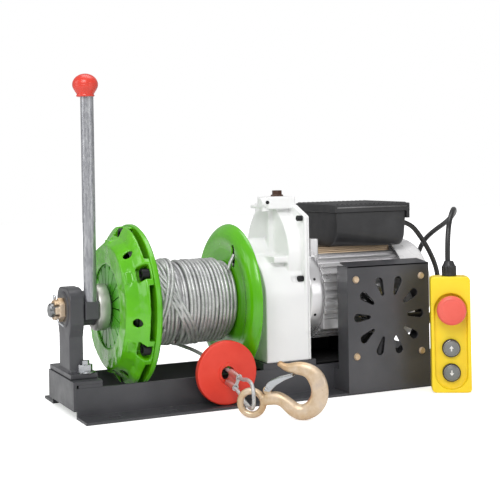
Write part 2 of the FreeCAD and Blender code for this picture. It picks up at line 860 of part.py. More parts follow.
def make_drum():
    """Clutch-side disc, barrel with end hubs, dished flange and the wound rope."""
    pitch = 360 / SIZES["cover_screw_count"]
    bore = s.shaft_radius + s.fit
    disc = turned("disc_body", [
        (disc_face, bore),
        (disc_face, s.disc_radius - 1),
        (disc_face + 1, s.disc_radius),
        (drum_start - 3, s.disc_radius),
        (drum_start, s.disc_radius - 3),
        (drum_start, bore),
    ], (0, 0, s.axis_height))
    holes = [
        radial_screw(f"disc_hole{index}", pitch * index, disc_face - 1, s.cover_screw_radius + s.fit,
            s.disc_wall + 2)
        for index in range(SIZES["cover_screw_count"])
    ]
    node("drum_clutch_disc", cut("disc_cut", disc, *holes))
    node("drum_barrel", turned("barrel_body", [
        (drum_start, bore),
        (drum_start, s.barrel_radius),
        (flange_face, s.barrel_radius),
        (flange_face, bore),
        (flange_face - s.hub_wall, bore),
        (flange_face - s.hub_wall, s.barrel_radius - s.barrel_wall),
        (drum_start + s.hub_wall, s.barrel_radius - s.barrel_wall),
        (drum_start + s.hub_wall, bore),
    ], (0, 0, s.axis_height)))
    wall = s.flange_wall
    back = flange_face + s.flange_depth
    dish = turned("flange_body", [
        (flange_face, bore),
        (flange_face, s.flange_flat_radius),
        (flange_face + 5, s.flange_flat_radius + 17),
        (flange_face + 14, s.flange_radius - 4),
        (back - 5, s.flange_radius),
        (back, s.flange_radius),
        (back, s.flange_radius - wall),
        (back - 5, s.flange_radius - wall),
        (flange_face + 16, s.flange_radius - 5 - wall),
        (flange_face + 5 + wall, s.flange_flat_radius + 14),
        (flange_face + wall, s.flange_flat_radius - 1),
        (flange_face + wall, bore + 18),
        (flange_face + wall + 8, bore + 18),
        (flange_face + wall + 8, bore),
    ], (0, 0, s.axis_height))
    anchor = sector_box("anchor_hole", 62, flange_face - 2, flange_face + 8, s.rope_pack_radius + 2,
                        s.rope_pack_radius + 22, 11)
    node("drum_right_flange", cut("flange_cut", dish, anchor))
    node("rope_winding", ring("winding", (drum_start, 0, s.axis_height), s.rope_pack_radius,
                              s.barrel_radius + s.fit, s.barrel_length))


# Gearbox

def gear_shape(teeth, module, width, x, y, z, bore, phase, thin=0.44):
    """A spur gear along X with straight-flanked teeth that leave running backlash."""
    pitch_radius = module * teeth / 2
    tip = pitch_radius + module * 0.85
    root = pitch_radius - module * 1.2
    pitch_angle = 2 * math.pi / teeth
    points = []
    for index in range(teeth):
        middle = pitch_angle * index + math.radians(phase)
        half_root = pitch_angle * (thin + 0.16) / 2
        half_tip = pitch_angle * (thin - 0.18) / 2
        for radius, angle in ((root, -half_root), (tip, -half_tip), (tip, half_tip), (root, half_root)):
            points.append(vec(x, y + radius * math.cos(middle + angle),
                z + radius * math.sin(middle + angle)))
    points.append(points[0])
    face = Part.Face(Part.makePolygon(points))
    gear = face.extrude(vec(width, 0, 0))
    if bore:
        gear = gear.cut(Part.makeCylinder(bore, width + 2, vec(x - 1, y, z), vec(1, 0, 0)))
    return gear


FINE_MODULE = 1.5
COARSE_MODULE = 2.0
OUTPUT_TEETH = 60
OUTPUT_PINION_TEETH = 12
COUNTER_TEETH = 84
MOTOR_PINION_TEETH = 12


def make_gears():
    """Output gear on the shaft, countershaft with gear and pinion, and the motor pinion."""
    y1, z1 = s.counter_offset.number, counter_height
    toward = math.degrees(math.atan2(z1 - s.axis_height.number, y1))
    width = s.gear_width.number
    out_x = (housing_start + s.housing_wall + 12).number
    fine_x = (housing_end - s.dome_length + s.dome_wall).number + 3
    output = gear_shape(OUTPUT_TEETH, COARSE_MODULE, width, out_x, 0, s.axis_height.number,
                        s.shaft_radius.number + s.fit.number, toward)
    web = Part.makeCylinder(50, 3, vec(out_x - 0.01, 0, s.axis_height), vec(1, 0, 0))
    web = web.cut(Part.makeCylinder(26, 4, vec(out_x - 0.5, 0, s.axis_height), vec(1, 0, 0)))
    node("output_gear", built("output_gear_shape", output.cut(web)))
    pinion = gear_shape(OUTPUT_PINION_TEETH, COARSE_MODULE, width, out_x, y1, z1, 0,
                        toward + 180 + 180 / OUTPUT_PINION_TEETH, 0.42)
    big = gear_shape(COUNTER_TEETH, FINE_MODULE, width - 2, fine_x, y1, z1, 0,
                     toward + 180 + 180 / COUNTER_TEETH)
    spindle_start = housing_start.number + 7
    spindle = Part.makeCylinder(s.spindle_radius.number, housing_end.number + 4 - spindle_start,
                                vec(spindle_start, y1, z1), vec(1, 0, 0))
    node("countershaft", built("countershaft_shape", spindle.fuse([pinion, big]).removeSplitter()))
    return fine_x, toward


def make_housing():
    """Cast gear housing: arched drive side, domed counter-gear side, bolting flange, ribs and boss."""
    x0 = housing_start
    z_axis = s.axis_height
    dome_start = housing_end - s.dome_length
    flange_start = housing_end - s.flange_plate
    half = s.housing_half_width
    lower = fuse(
        "lower_arch",
        box("lower_box", (x0, -half, leg_top), (housing_end, half, z_axis)),
        rod("lower_round", (x0, 0, z_axis), half, s.housing_length),
    )
    dome = rod("dome", (dome_start, s.counter_offset, counter_height), s.dome_radius, s.dome_length)
    plate = box("flange_plate", (flange_start, -half - 1, s.flange_bottom),
                (housing_end, s.flange_back, s.flange_top))
    block = box("top_block", (dome_start - 25, -s.top_block_half, s.flange_top - 6),
                (housing_end, s.top_block_half + 10, s.flange_top + s.top_block_height))
    stem = box("top_stem", (dome_start - 10, -6, s.flange_top - 90), (dome_start + 6, 6, s.flange_top))
    shelf = box("rib_shelf", (dome_start - 26, -half + 12, z_axis + half - 12),
        (dome_start + 4, half - 10, z_axis + half - 2))
    boss = rod("side_boss", (dome_start - 40, -s.top_block_half + 10, s.flange_top + 5), 8, 20)
    corner = pressed("flange_corner", "YZ_Plane", [
        (-half - 2, s.flange_top + 1),
        (-half - 2, s.flange_top - s.flange_chamfer_z),
        (-half + s.flange_chamfer_y, s.flange_top + 1),
    ], s.flange_plate + 2, (flange_start - 1, 0, 0))
    plate = cut("flange_plate_cut", plate, corner)
    skin = fuse("housing_skin", lower, dome, plate, block, stem, shelf, boss)
    wall = s.housing_wall
    hollow_low = fuse(
        "hollow_low",
        box("hollow_box", (x0 + wall, -half + wall, leg_top + wall),
            (housing_end + 1, half - wall, z_axis)),
        rod("hollow_round", (x0 + wall, 0, z_axis), half - wall, s.housing_length),
    )
    hollow_dome = rod("hollow_dome", (dome_start + s.dome_wall, s.counter_offset, counter_height),
                      s.dome_radius - s.dome_wall, s.dome_length)
    pinion_room = rod("pinion_room", (x0 + 12, s.counter_offset, counter_height), 20, s.housing_length)
    spindle_bore = rod("spindle_bore", (x0 + 6, s.counter_offset, counter_height),
        s.spindle_radius + s.fit, 8)
    reliefs = [rod(f"screw_relief{index}", (flange_start - 20, y, z), 6.5, 20)
               for index, (y, z) in enumerate(housing_screw_places())]
    bore = rod("housing_bore", (x0 - 1, 0, z_axis), s.shaft_radius + 1, s.housing_length)
    support = rod("pinion_cup", (x0 + 3, s.counter_offset, counter_height), 26, dome_start - x0)
    whole = fuse("housing_all", skin, support)
    node("gear_housing", cut("housing_cut", whole, hollow_low, hollow_dome, pinion_room, spindle_bore,
                              bore, *reliefs))
    make_gear_cover()


def housing_screw_places():
    """Where the flange screws sit, as (y, z)."""
    front = -s.housing_half_width + 5
    back = s.flange_back - 12
    return [(front, s.flange_top - 32), (front, s.flange_bottom + 88), (back, s.flange_top - 40),
            (back, s.flange_bottom + 60)]


def make_gear_cover():
    """Cover plate between gear housing and motor, with the motor spigot bore."""
    half = s.housing_half_width
    points = [
        (-half - 1, leg_top),
        (-half - 1, s.flange_top - s.flange_chamfer_z),
        (-half + s.flange_chamfer_y - 1, s.flange_top),
        (s.flange_back - 24, s.flange_top),
        (s.flange_back, s.flange_top - 24),
        (s.flange_back, s.flange_bottom + 30),
        (half, s.flange_bottom),
        (half, leg_top),
    ]
    plate = pressed("gear_cover_plate", "YZ_Plane", points, s.cover_plate, (housing_end, 0, 0))
    node("gear_cover", cut(
        "gear_cover_cut",
        plate,
        rod("gear_cover_bore", (housing_end - 1, 0, s.axis_height), 12, s.cover_plate + 2),
        rod("gear_cover_socket", (housing_end - 1, s.counter_offset, counter_height),
            s.spindle_radius + s.fit, 6),
    ))
    screws = []
    for y, z in housing_screw_places():
        start = housing_end - s.flange_plate
        head = Part.makeCylinder(5, 8, vec(start - 8, y, z), vec(1, 0, 0))
        screws.append(head)
    node("housing_screws", built("housing_screw_heads", Part.makeCompound(screws)))
    block_top = s.flange_top + s.top_block_height
    plug_x = housing_end - 24
    node("oil_plug", fuse(
        "oil_plug_body",
        rod("oil_plug_flange", (plug_x, 8, block_top), 10, 3, "Z"),
        hexagon("oil_plug_hex", (plug_x, 8, block_top + 2), 15, 8, "Z"),
    ))


# Motor

shield_end = gear_cover_end + s.shield_length
body_end = shield_end + s.motor_body_length
fan_end = body_end + s.fan_cover_length
box_start = shield_end + s.box_inset
guard_start = shield_end + s.guard_inset


def make_motor(fine_x, toward):
    """Motor: end shields, finned body with stator, rotor with pinion, fan and fan cover."""
    z = s.axis_height
    shield = rod("shield_disc", (gear_cover_end, 0, z), s.shield_radius, s.shield_length)
    lug = box("shield_lug", (gear_cover_end, -34, z + s.shield_radius - 14),
              (gear_cover_end + 17, -12, z + s.shield_radius + 16))
    node("motor_front_shield", cut(
        "shield_cut",
        fuse("shield_whole", shield, lug),
        rod("shield_bore", (gear_cover_end - 1, 0, z), 12, s.shield_length + 2),
        rod("shield_hollow", (gear_cover_end + 8, 0, z), s.motor_radius - 10, s.shield_length),
    ))
    count = SIZES["motor_fin_count"]
    fins = []
    for index in range(count):
        fin = Part.makeBox(s.motor_body_length.number, 5, s.motor_fin.number + 2)
        fin.translate(vec(shield_end, -2.5, z + s.motor_radius - 2))
        fins.append(about_axis(fin, 360 / count * index, 0, z.number))
    shell = Part.makeCylinder(s.motor_radius.number, s.motor_body_length.number, vec(shield_end, 0, z),
        vec(1, 0, 0))
    shell = shell.fuse(fins)
    for side in (-1, 1):
        pad = Part.makeBox(s.motor_body_length.number, 26, 24)
        pad.translate(vec(shield_end, side * 53 - 13, z - 54))
        shell = shell.fuse(pad)
    saddle = Part.makeBox(s.box_length.number - 40, 56, s.box_bottom.number - z.number - 60)
    saddle.translate(vec(box_start + 20, -28, z + 60))
    shell = shell.fuse(saddle)
    inner = Part.makeCylinder(s.motor_radius.number - 6, s.motor_body_length.number + 2,
        vec(shield_end - 1, 0, z),
                              vec(1, 0, 0))
    stator_start = shield_end + s.winding_space
    stator_length = s.motor_body_length - s.winding_space * 2
    stator = ring("stator", (stator_start, 0, z), s.motor_radius - 6, s.rotor_radius + 0.6, stator_length)
    housing = built("motor_body_shape", shell.cut(inner).removeSplitter())
    node("motor_body", group("motor_body_group", [housing, stator]))
    pinion = gear_shape(MOTOR_PINION_TEETH, FINE_MODULE, s.gear_width.number - 2, fine_x, 0, z.number,
        0, toward, 0.42)
    spindle = Part.makeCylinder(7, float(fan_end) - 14 - fine_x, vec(fine_x, 0, z), vec(1, 0, 0))
    core = Part.makeCylinder(s.rotor_radius.number, stator_length.number, vec(stator_start, 0, z),
        vec(1, 0, 0))
    node("motor_rotor", built("rotor_shape", spindle.fuse([pinion, core]).removeSplitter()))
    back = fuse(
        "rear_shield_body",
        rod("rear_shield_disc", (body_end, 0, z), s.motor_radius, 10),
        rod("rear_shield_spigot", (body_end - 8, 0, z), s.motor_radius - 6.2, 10),
    )
    node("motor_rear_shield", cut("rear_shield_cut", back, rod("rear_bore", (body_end - 9, 0, z), 7.3, 21)))
    make_fan()


def make_fan():
    """Fan on the rotor's end and the pressed cover over it."""
    z = s.axis_height
    start = body_end + 18
    hub = Part.makeCylinder(18, 18, vec(start, 0, z), vec(1, 0, 0))
    disc = Part.makeCylinder(64, 2.5, vec(start, 0, z), vec(1, 0, 0))
    blades = []
    for index in range(8):
        blade = Part.makeBox(18, 2.5, 48)
        blade.translate(vec(start, -1.25, z + 15))
        blades.append(about_axis(blade, 45 * index, 0, z.number))
    bore = Part.makeCylinder(7 + s.fit.number, 20, vec(start - 1, 0, z), vec(1, 0, 0))
    node("motor_fan", built("fan_shape", hub.fuse([disc] + blades).cut(bore).removeSplitter()))
    wall = s.fan_cover_wall
    outer = turned("fan_cover_outer", [
        (body_end + s.gap, 0),
        (body_end + s.gap, s.fan_cover_radius),
        (fan_end, s.fan_cover_radius),
        (fan_end, 0),
    ], (0, 0, z))
    outer = rounded("fan_cover_round", outer, 16, circle_at(fan_end, s.fan_cover_radius))
    inner = turned("fan_cover_inner", [
        (body_end - 1, 0),
        (body_end - 1, s.fan_cover_radius - wall),
        (fan_end - wall, s.fan_cover_radius - wall),
        (fan_end - wall, 0),
    ], (0, 0, z))
    inner = rounded("fan_cover_hollow", inner, 14.4, circle_at(fan_end - wall, s.fan_cover_radius - wall))
    slots = []
    for row in range(-3, 4):
        reach = math.sqrt(60 ** 2 - (row * 14) ** 2)
        slots.append(box(f"fan_slot{row + 3}", (fan_end - 5, -reach, z + row * 14 - 2.5),
                         (fan_end + 2, reach, z + row * 14 + 2.5)))
    node("motor_fan_cover", cut("fan_cover_cut", cut("fan_cover_shell", outer, inner), *slots))


def make_terminal_box():
    """Tub-shaped electrical box on the motor, its lid and the cable gland in its end."""
    x0 = box_start
    x1 = x0 + s.box_length
    half = s.box_width / 2
    top = s.box_bottom + s.box_height
    tub = box("tub_block", (x0, -half, s.box_bottom), (x1, half, top))
    tub = rounded("tub_round", tub, 20,
                  lambda edge: edge.CenterOfMass.z < s.box_bottom.number + 0.1)
    tub_hollow = box("tub_hollow", (x0 + 3, -half + 3, s.box_bottom + 20), (x1 - 3, half - 3, top + 1))
    gland_y = -29
    gland_z = top - 20
    node("terminal_box", cut(
        "tub_cut", tub, tub_hollow,
        rod("tub_gland_hole", (x1 - 5, gland_y, gland_z), 7, 8),
    ))
    lid = box("lid_block", (x0 - 3, -half - 3, top), (x1 + 3, half + 3, top + s.lid_height))
    ribs = [
        box(f"lid_groove{index}", (x0 + 4 + index * 10, -half - 4, top + s.lid_height - 1.5),
            (x0 + 9 + index * 10, half + 4, top + s.lid_height + 1))
        for index in range(13)
    ]
    clip = box("lid_clip", (x1 + 1, -half, top - 14), (x1 + 4.5, -half + 26, top + 2))
    node("terminal_box_lid", fuse("lid_whole", cut("lid_cut", lid, *ribs), clip))
    node("terminal_box_gland", cut(
        "box_gland_cut",
        fuse(
            "box_gland_body",
            rod("box_gland_thread", (x1 - 4, gland_y, gland_z), 6.9, 6),
            hexagon("box_gland_hex", (x1, gland_y, gland_z), 17, 6),
            cone("box_gland_nose", (x1 + 6, gland_y, gland_z), 8, 6, 8),
        ),
        rod("box_gland_bore", (x1 - 5, gland_y, gland_z), s.cable_radius, 20),
    ))


# Guard and cooling fan

def make_guard():
    """Folded guard with a ring of tapered slots, fixed by the four fan screws."""
    x0 = guard_start
    x1 = x0 + s.guard_length
    wall = s.guard_wall
    z0 = s.rail_wall
    z1 = z0 + s.guard_height
    back = -half_width
    front = back - s.rail_foot_width - wall
    face = box("guard_face", (x0, front, z0 - 2), (x1, front + wall, z1))
    left = box("guard_left", (x0, front, z0), (x0 + wall, front + s.guard_depth, z1))
    right = box("guard_right", (x1 - wall, front, z0), (x1, front + s.guard_depth, z1))
    top = pressed("guard_top", "XZ_Plane", [
        (x0, z1 - wall),
        (x1, z1 - wall),
        (x1, z1),
        (x0, z1),
    ], s.guard_depth - 10, (0, front + s.guard_depth - 10, 0))
    centre_x = x0 + s.guard_length / 2
    tabs = [box(f"guard_tab{index}", (x, front + s.guard_depth - 5, z0), (x + wall, back, z0 + 34))
            for index, x in enumerate((x0, x1 - wall))]
    tools = []
    count = SIZES["slot_count"]
    for index in range(count):
        angle = math.radians(360 / count * index)
        tools.append(teardrop(centre_x.number, s.fan_centre_height.number, angle, front.number - 1,
            wall.number + 2))
    holes = [rod(f"guard_hole{index}", (x, front - 1, z), 3.2, wall + 2, "Y")
             for index, (x, z) in enumerate(fan_corners())]
    node("guard", cut("guard_cut", fuse("guard_whole", face, left, right, top, *tabs),
                      built("guard_slots", Part.makeCompound(tools)), *holes))
    screws = []
    for index, (x, z) in enumerate(fan_corners()):
        tag = f"guard_screw{index}"
        dome = cone(tag + "_head", (x, front - 3, z), 4.5, 6, 3, "Y")
        shank = rod(tag + "_shank", (x, front - 1, z), 3, s.fan_depth + wall - 2, "Y")
        screws.append(fuse(tag, dome, shank))
    node("guard_screws", group("guard_screws_group", screws))
    make_cooling_fan(front + wall)


def fan_corners():
    """The four screw places of the cooling fan, as (x, z)."""
    centre_x = guard_start + s.guard_length / 2
    reach = s.fan_hole_spacing / 2
    return [(centre_x + reach * a, s.fan_centre_height + reach * b) for a,
        b in ((-1, 1), (1, 1), (-1, -1), (1, -1))]


def teardrop(x, z, angle, y, depth):
    """A tapered slot with round ends that points out from the ring's centre."""
    wide, narrow = s.slot_outer_radius.number, s.slot_inner_radius.number
    far, near = s.slot_outer.number, s.slot_inner.number
    slope = math.asin((wide - narrow) / (far - near))
    out = vec(math.cos(angle), 0, math.sin(angle))
    side = vec(-math.sin(angle), 0, math.cos(angle))

    def edge_point(distance, radius, way):
        return vec(x, y,
            z) + out * (distance - radius * math.sin(slope)) + side * (way * radius * math.cos(slope))

    def end_point(distance, radius):
        return vec(x, y, z) + out * (distance + radius)

    a, b = edge_point(far, wide, 1), edge_point(far, wide, -1)
    c, d = edge_point(near, narrow, -1), edge_point(near, narrow, 1)
    wire = Part.Wire([
        Part.Arc(a, end_point(far, wide), b).toShape(),
        Part.makeLine(b, c),
        Part.Arc(c, end_point(near, -narrow), d).toShape(),
        Part.makeLine(d, a),
    ])
    return Part.Face(wire).extrude(vec(0, depth, 0))


def make_cooling_fan(front):
    """Square axial fan behind the guard: frame with four struts, and a bladed rotor."""
    centre_x = (guard_start + s.guard_length / 2).number
    z = s.fan_centre_height.number
    half = s.fan_size.number / 2
    depth = s.fan_depth.number
    y = float(front)
    throat = half - 3
    frame = Part.makeBox(2 * half, depth, 2 * half, vec(centre_x - half, y, z - half))
    frame = frame.cut(Part.makeCylinder(throat, depth + 2, vec(centre_x, y - 1, z), vec(0, 1, 0)))
    cup = Part.makeCylinder(27, 4, vec(centre_x, y + depth - 4, z), vec(0, 1, 0))
    parts = [cup]
    for index in range(4):
        strut = Part.makeBox(throat + 1, 3, 6, vec(centre_x, y + depth - 3.5, z - 3))
        strut.rotate(vec(centre_x, y, z), vec(0, 1, 0), 45 + 90 * index)
        parts.append(strut)
    pin = Part.makeCylinder(3, 12, vec(centre_x, y + depth - 15, z), vec(0, 1, 0))
    frame = frame.fuse(parts + [pin])
    for x, height in fan_corners():
        frame = frame.cut(Part.makeCylinder(3.1, depth + 2, vec(x, y - 1, height), vec(0, 1, 0)))
    node("cooling_fan_frame", built("fan_frame_shape", frame.removeSplitter()))
    hub = Part.makeCylinder(26, depth - 8, vec(centre_x, y + 3, z), vec(0, 1, 0))
    blades = []
    for index in range(7):
        blade = Part.makeBox(throat - 2 - 20, 2, depth - 6, vec(centre_x + 20, y + 4, z - 1))
        blade.rotate(vec(centre_x + 40, y + depth / 2, z), vec(1, 0, 0), 38)
        blade.rotate(vec(centre_x, y, z), vec(0, 1, 0), 360 / 7 * index)
        blades.append(blade)
    limit = Part.makeCylinder(throat - 1.5, depth - 8, vec(centre_x, y + 3, z), vec(0, 1, 0))
    rotor = hub.fuse(blades).common(limit)
    rotor = rotor.cut(Part.makeCylinder(3 + s.fit.number, depth, vec(centre_x, y + depth - 16, z),
        vec(0, 1, 0)))
    node("cooling_fan_rotor", built("fan_rotor_shape", rotor.removeSplitter()))


# Rope end: stop disc, ferrules, rope and hook

stop_centre_x = drum_start + 112.3
stop_front = -half_width - 35
stop_height = s.rail_wall + s.stop_radius


def make_stop_disc():
    """Red rubber stop disc with a raised lip round its hole."""
    body = rod("stop_body", (stop_centre_x, stop_front, stop_height), s.stop_radius, s.stop_wall, "Y")
    front, back = float(stop_front), float(stop_front) + s.stop_wall.number

    def rim(edge):
        return isinstance(edge.Curve, Part.Circle) and abs(edge.Curve.Radius - s.stop_radius.number) < 0.01

    body = rounded("stop_round", body, 2.5, rim)
    lip = rod("stop_lip", (stop_centre_x, stop_front - 2, stop_height), s.stop_lip, 4, "Y")
    node("stop_disc", cut(
        "stop_cut",
        fuse("stop_whole", body, lip),
        rod("stop_bore", (stop_centre_x, stop_front - 3, stop_height), s.stop_hole, s.stop_wall + 4, "Y"),
    ))


def tube(points, radius):
    """A round cord along straight runs joined by tangent arcs."""
    corners = [vec(*point) for point in points]
    edges = []
    start = corners[0]
    for before, corner, after in zip(corners, corners[1:], corners[2:]):
        into = corner - before
        away = after - corner
        turn = into.getAngle(away)
        shorter = min(into.Length, away.Length)
        reach = 0.45 * shorter
        into.normalize()
        away.normalize()
        first = corner - into * reach
        last = corner + away * reach
        bisector = away - into
        bisector.normalize()
        arc_radius = reach / math.tan(turn / 2)
        centre = corner + bisector * (arc_radius / math.cos(turn / 2))
        middle = centre - bisector * arc_radius
        edges.append(Part.LineSegment(start, first).toShape())
        edges.append(Part.Arc(first, middle, last).toShape())
        start = last
    edges.append(Part.LineSegment(start, corners[-1]).toShape())
    path = Part.Wire(edges)
    direction = corners[1] - corners[0]
    section = Part.Wire([Part.makeCircle(radius, corners[0], direction)])
    return path.makePipeShell([section], True, True)


# Routes, chosen by hand: the rope from the drum's left end, the cable from the motor's front

ROPE_START = [
    (72.3, 22, 87.4), (79.3, 7, 84), (87.3, -10, 81), (94.3, -28, 77), (100.3, -47, 71),
    (105.8, -65, 65.5), (109.3, -81, 62), (111.3, -97, 60.5),
]
ROPE_LOOP = [
    (-13, 53, 20), (-2, 52.5, 3), (5, 46, -9), (6.5, 34, -12), (5, 22, -5), (-0.8, 10.6, 4.4), (-11, 16,
        14),
    (-21, 24, 23),
]
CABLE_OUT = [
    (175, -29, 271), (195, -29, 267), (217, -28, 243), (237, -27, 214), (251, -26, 184), (257, -22, 150),
    (255, -12, 116), (248, 4, 84), (240, 24, 54), (235, 50, 28), (235, 82, 10), (232, 112, 4.6),
    (212, 136, 4.3), (180, 137, 4.3), (150, 131, 4.3), (124, 129.75, 4.3),
]
CABLE_IN = [
    (125, 230, 11.6), (156, 229, 11), (188, 219, 8), (216, 199, 5.5), (236, 171, 8), (247, 141, 24),
    (251, 114, 54), (254, 92, 90), (256, 74, 130), (257, 58, 168), (258, 46, 203), (260, 29, 231),
    (263, 0, 250), (263, -42, 268), (248, -88, 286), (216, -128, 297), (181, -159.5, 262),
    (181, -159.5, 211),
]
COIL_CENTRE = (121, 182)
COIL_RADIUS = 48
hook_along = vec(0.769, -0.640, 0)
hook_along.normalize()
hook_normal = vec(-hook_along.y, hook_along.x, 0)
hook_foot = vec(drum_start.number + 114.2, -185.2, 0)
ferrule_way = vec(0.16, -0.955, -0.25)
ferrule_way.normalize()


def hook_at(u, z, out=0.0):
    """A point in the hook's own upright plane, and how far behind it."""
    return hook_foot + hook_along * u + vec(0, 0, z) + hook_normal * out


def make_rope_end():
    """Free end of the rope through the stop disc and the hook's eye, held by a double-barrel ferrule."""
    start_points = [vec(x, y, z) + vec(drum_start, 0, 0) for x, y, z in ROPE_START]
    entry = start_points[-1]
    down = vec(-0.25, 0, -0.95)
    down = down - ferrule_way * down.dot(ferrule_way)
    down.normalize()
    low = entry + down * s.ferrule_pitch.number
    loop = [entry + ferrule_way * 48]
    loop += [hook_at(*point) for point in ROPE_LOOP]
    loop += [low + ferrule_way * 41, low + ferrule_way * 24]
    route = start_points + loop
    node("rope_end", built("rope_end_shape", tube(route, s.rope_radius.number)))
    start, length = 17, s.ferrule_length.number
    barrel = s.rope_radius.number + s.ferrule_wall.number
    shell = Part.makeCylinder(barrel, length, entry + ferrule_way * start, ferrule_way)
    shell = shell.fuse(Part.makeCylinder(barrel, length, low + ferrule_way * start, ferrule_way))
    side = down.cross(ferrule_way)
    corner = entry + ferrule_way * start - side * 3
    web = Part.Face(Part.makePolygon([
        corner, corner + side * 6, corner + side * 6 + (low - entry), corner + (low - entry), corner]))
    shell = shell.fuse(web.extrude(ferrule_way * length)).removeSplitter()
    for axis in (entry, low):
        shell = shell.cut(Part.makeCylinder(s.rope_radius.number, length + 2,
            axis + ferrule_way * (start - 1), ferrule_way))
    node("rope_ferrule", built("rope_ferrule_shape", shell))


def beside_motor(points):
    """Places given from the motor's front face."""
    return [vec(x + shield_end.number, y, z) for x, y, z in points]


def make_cable():
    """Control cable: down from the box, a coil behind the base, and up to the pendant."""
    radius = s.cable_radius.number
    node("control_cable_out", built("control_cable_out_shape", tube(beside_motor(CABLE_OUT), radius)))
    node("control_cable_in", built("control_cable_in_shape", tube(beside_motor(CABLE_IN), radius)))
    top = radius * 2 + radius * math.sqrt(3)
    coil = turned_upright("coil", [
        (COIL_RADIUS - 2 * radius, 0), (COIL_RADIUS + 2 * radius, 0), (COIL_RADIUS + 2 * radius,
            1.6 * radius),
        (COIL_RADIUS + radius, top), (COIL_RADIUS - radius, top), (COIL_RADIUS - 2 * radius, 1.6 * radius),
    ])
    node("control_cable_coil", coil)


def turned_upright(name, points):
    """A ring turned about an upright line, from (radius, height) corners."""
    face = Part.Face(Part.makePolygon([vec(x, 0, z) for x, z in points + points[:1]]))
    solid = face.revolve(vec(0, 0, 0), vec(0, 0, 1), 360)
    solid.translate(vec(COIL_CENTRE[0] + shield_end.number, COIL_CENTRE[1], 0))
    return built(name, solid)


def make_hook():
    """Eye hook that stands on the floor on edge, its spring latch and the latch pin."""
    u_axis = hook_along
    normal = hook_normal
    at = hook_at
    eye_height = s.hook_eye_radius.number + s.hook_eye_section.number
    eye = Part.makeTorus(s.hook_eye_radius.number, s.hook_eye_section.number, at(0, eye_height), normal)
    stations = [
        (17, 27, 12, 12, 0.35), (35, 30.5, 20, 15, -0.15), (50, 25.5, 20, 16, -0.55),
        (62, 16, 22, 16, -0.55), (77, 11.6, 23.5, 16, 0.1), (92, 18.5, 25, 16, 0.75),
        (101, 33, 26, 16, 1.25), (101.5, 50, 26, 16, 1.75), (93, 67, 24, 15, 2.3),
        (77, 74.8, 20, 14, 2.95), (60, 75.4, 15, 12, 3.1), (46, 80, 9, 9, 2.65),
    ]
    wires = []
    for u, z, tall, thick, heading in stations:
        along = u_axis * math.cos(heading) + vec(0, 0, math.sin(heading))
        across = along.cross(normal)
        ellipse = Part.Ellipse(at(u, z), tall / 2, thick / 2)
        ellipse.Axis = across.cross(normal)
        ellipse.XAxis = across
        wires.append(Part.Wire([ellipse.toShape()]))
    bowl = Part.makeLoft(wires, True, False)
    nose = Part.makeSphere(4.6, at(44.5, 80.6))
    lug = Part.makeCylinder(6, 8, at(24, 42) - normal * 4, normal)
    hook = eye.fuse([bowl, nose, lug]).removeSplitter()
    hole = Part.makeCylinder(2 + s.fit.number, 40, at(24, 44.5) - normal * 20, normal)
    node("hook", built("hook_shape", hook.cut(hole)))
    pivot = at(24, 44.5)
    tongue = latch_shape(at, normal)
    pin = Part.makeCylinder(2, 16, pivot - normal * 8, normal)
    node("hook_latch", built("latch_shape", tongue.fuse(pin).removeSplitter()))


def latch_shape(at, normal):
    """A channel-shaped tongue with two ears round the hook's lug."""
    outline_points = [(19.5, 41), (26, 50.5), (60, 66.5), (64, 62.5), (31, 43), (24, 40.5)]
    wire = Part.makePolygon([at(u, z, -7) for u, z in outline_points + outline_points[:1]])
    solid = Part.Face(wire).extrude(normal * 14)
    inner_points = [(15, 36), (24, 48), (60.5, 64.6), (64, 58), (32, 34)]
    inner = Part.Face(Part.makePolygon([at(u, z, -5.4) for u, z in inner_points + inner_points[:1]]))
    solid = solid.cut(inner.extrude(normal * 10.8))
    return solid


# Pendant

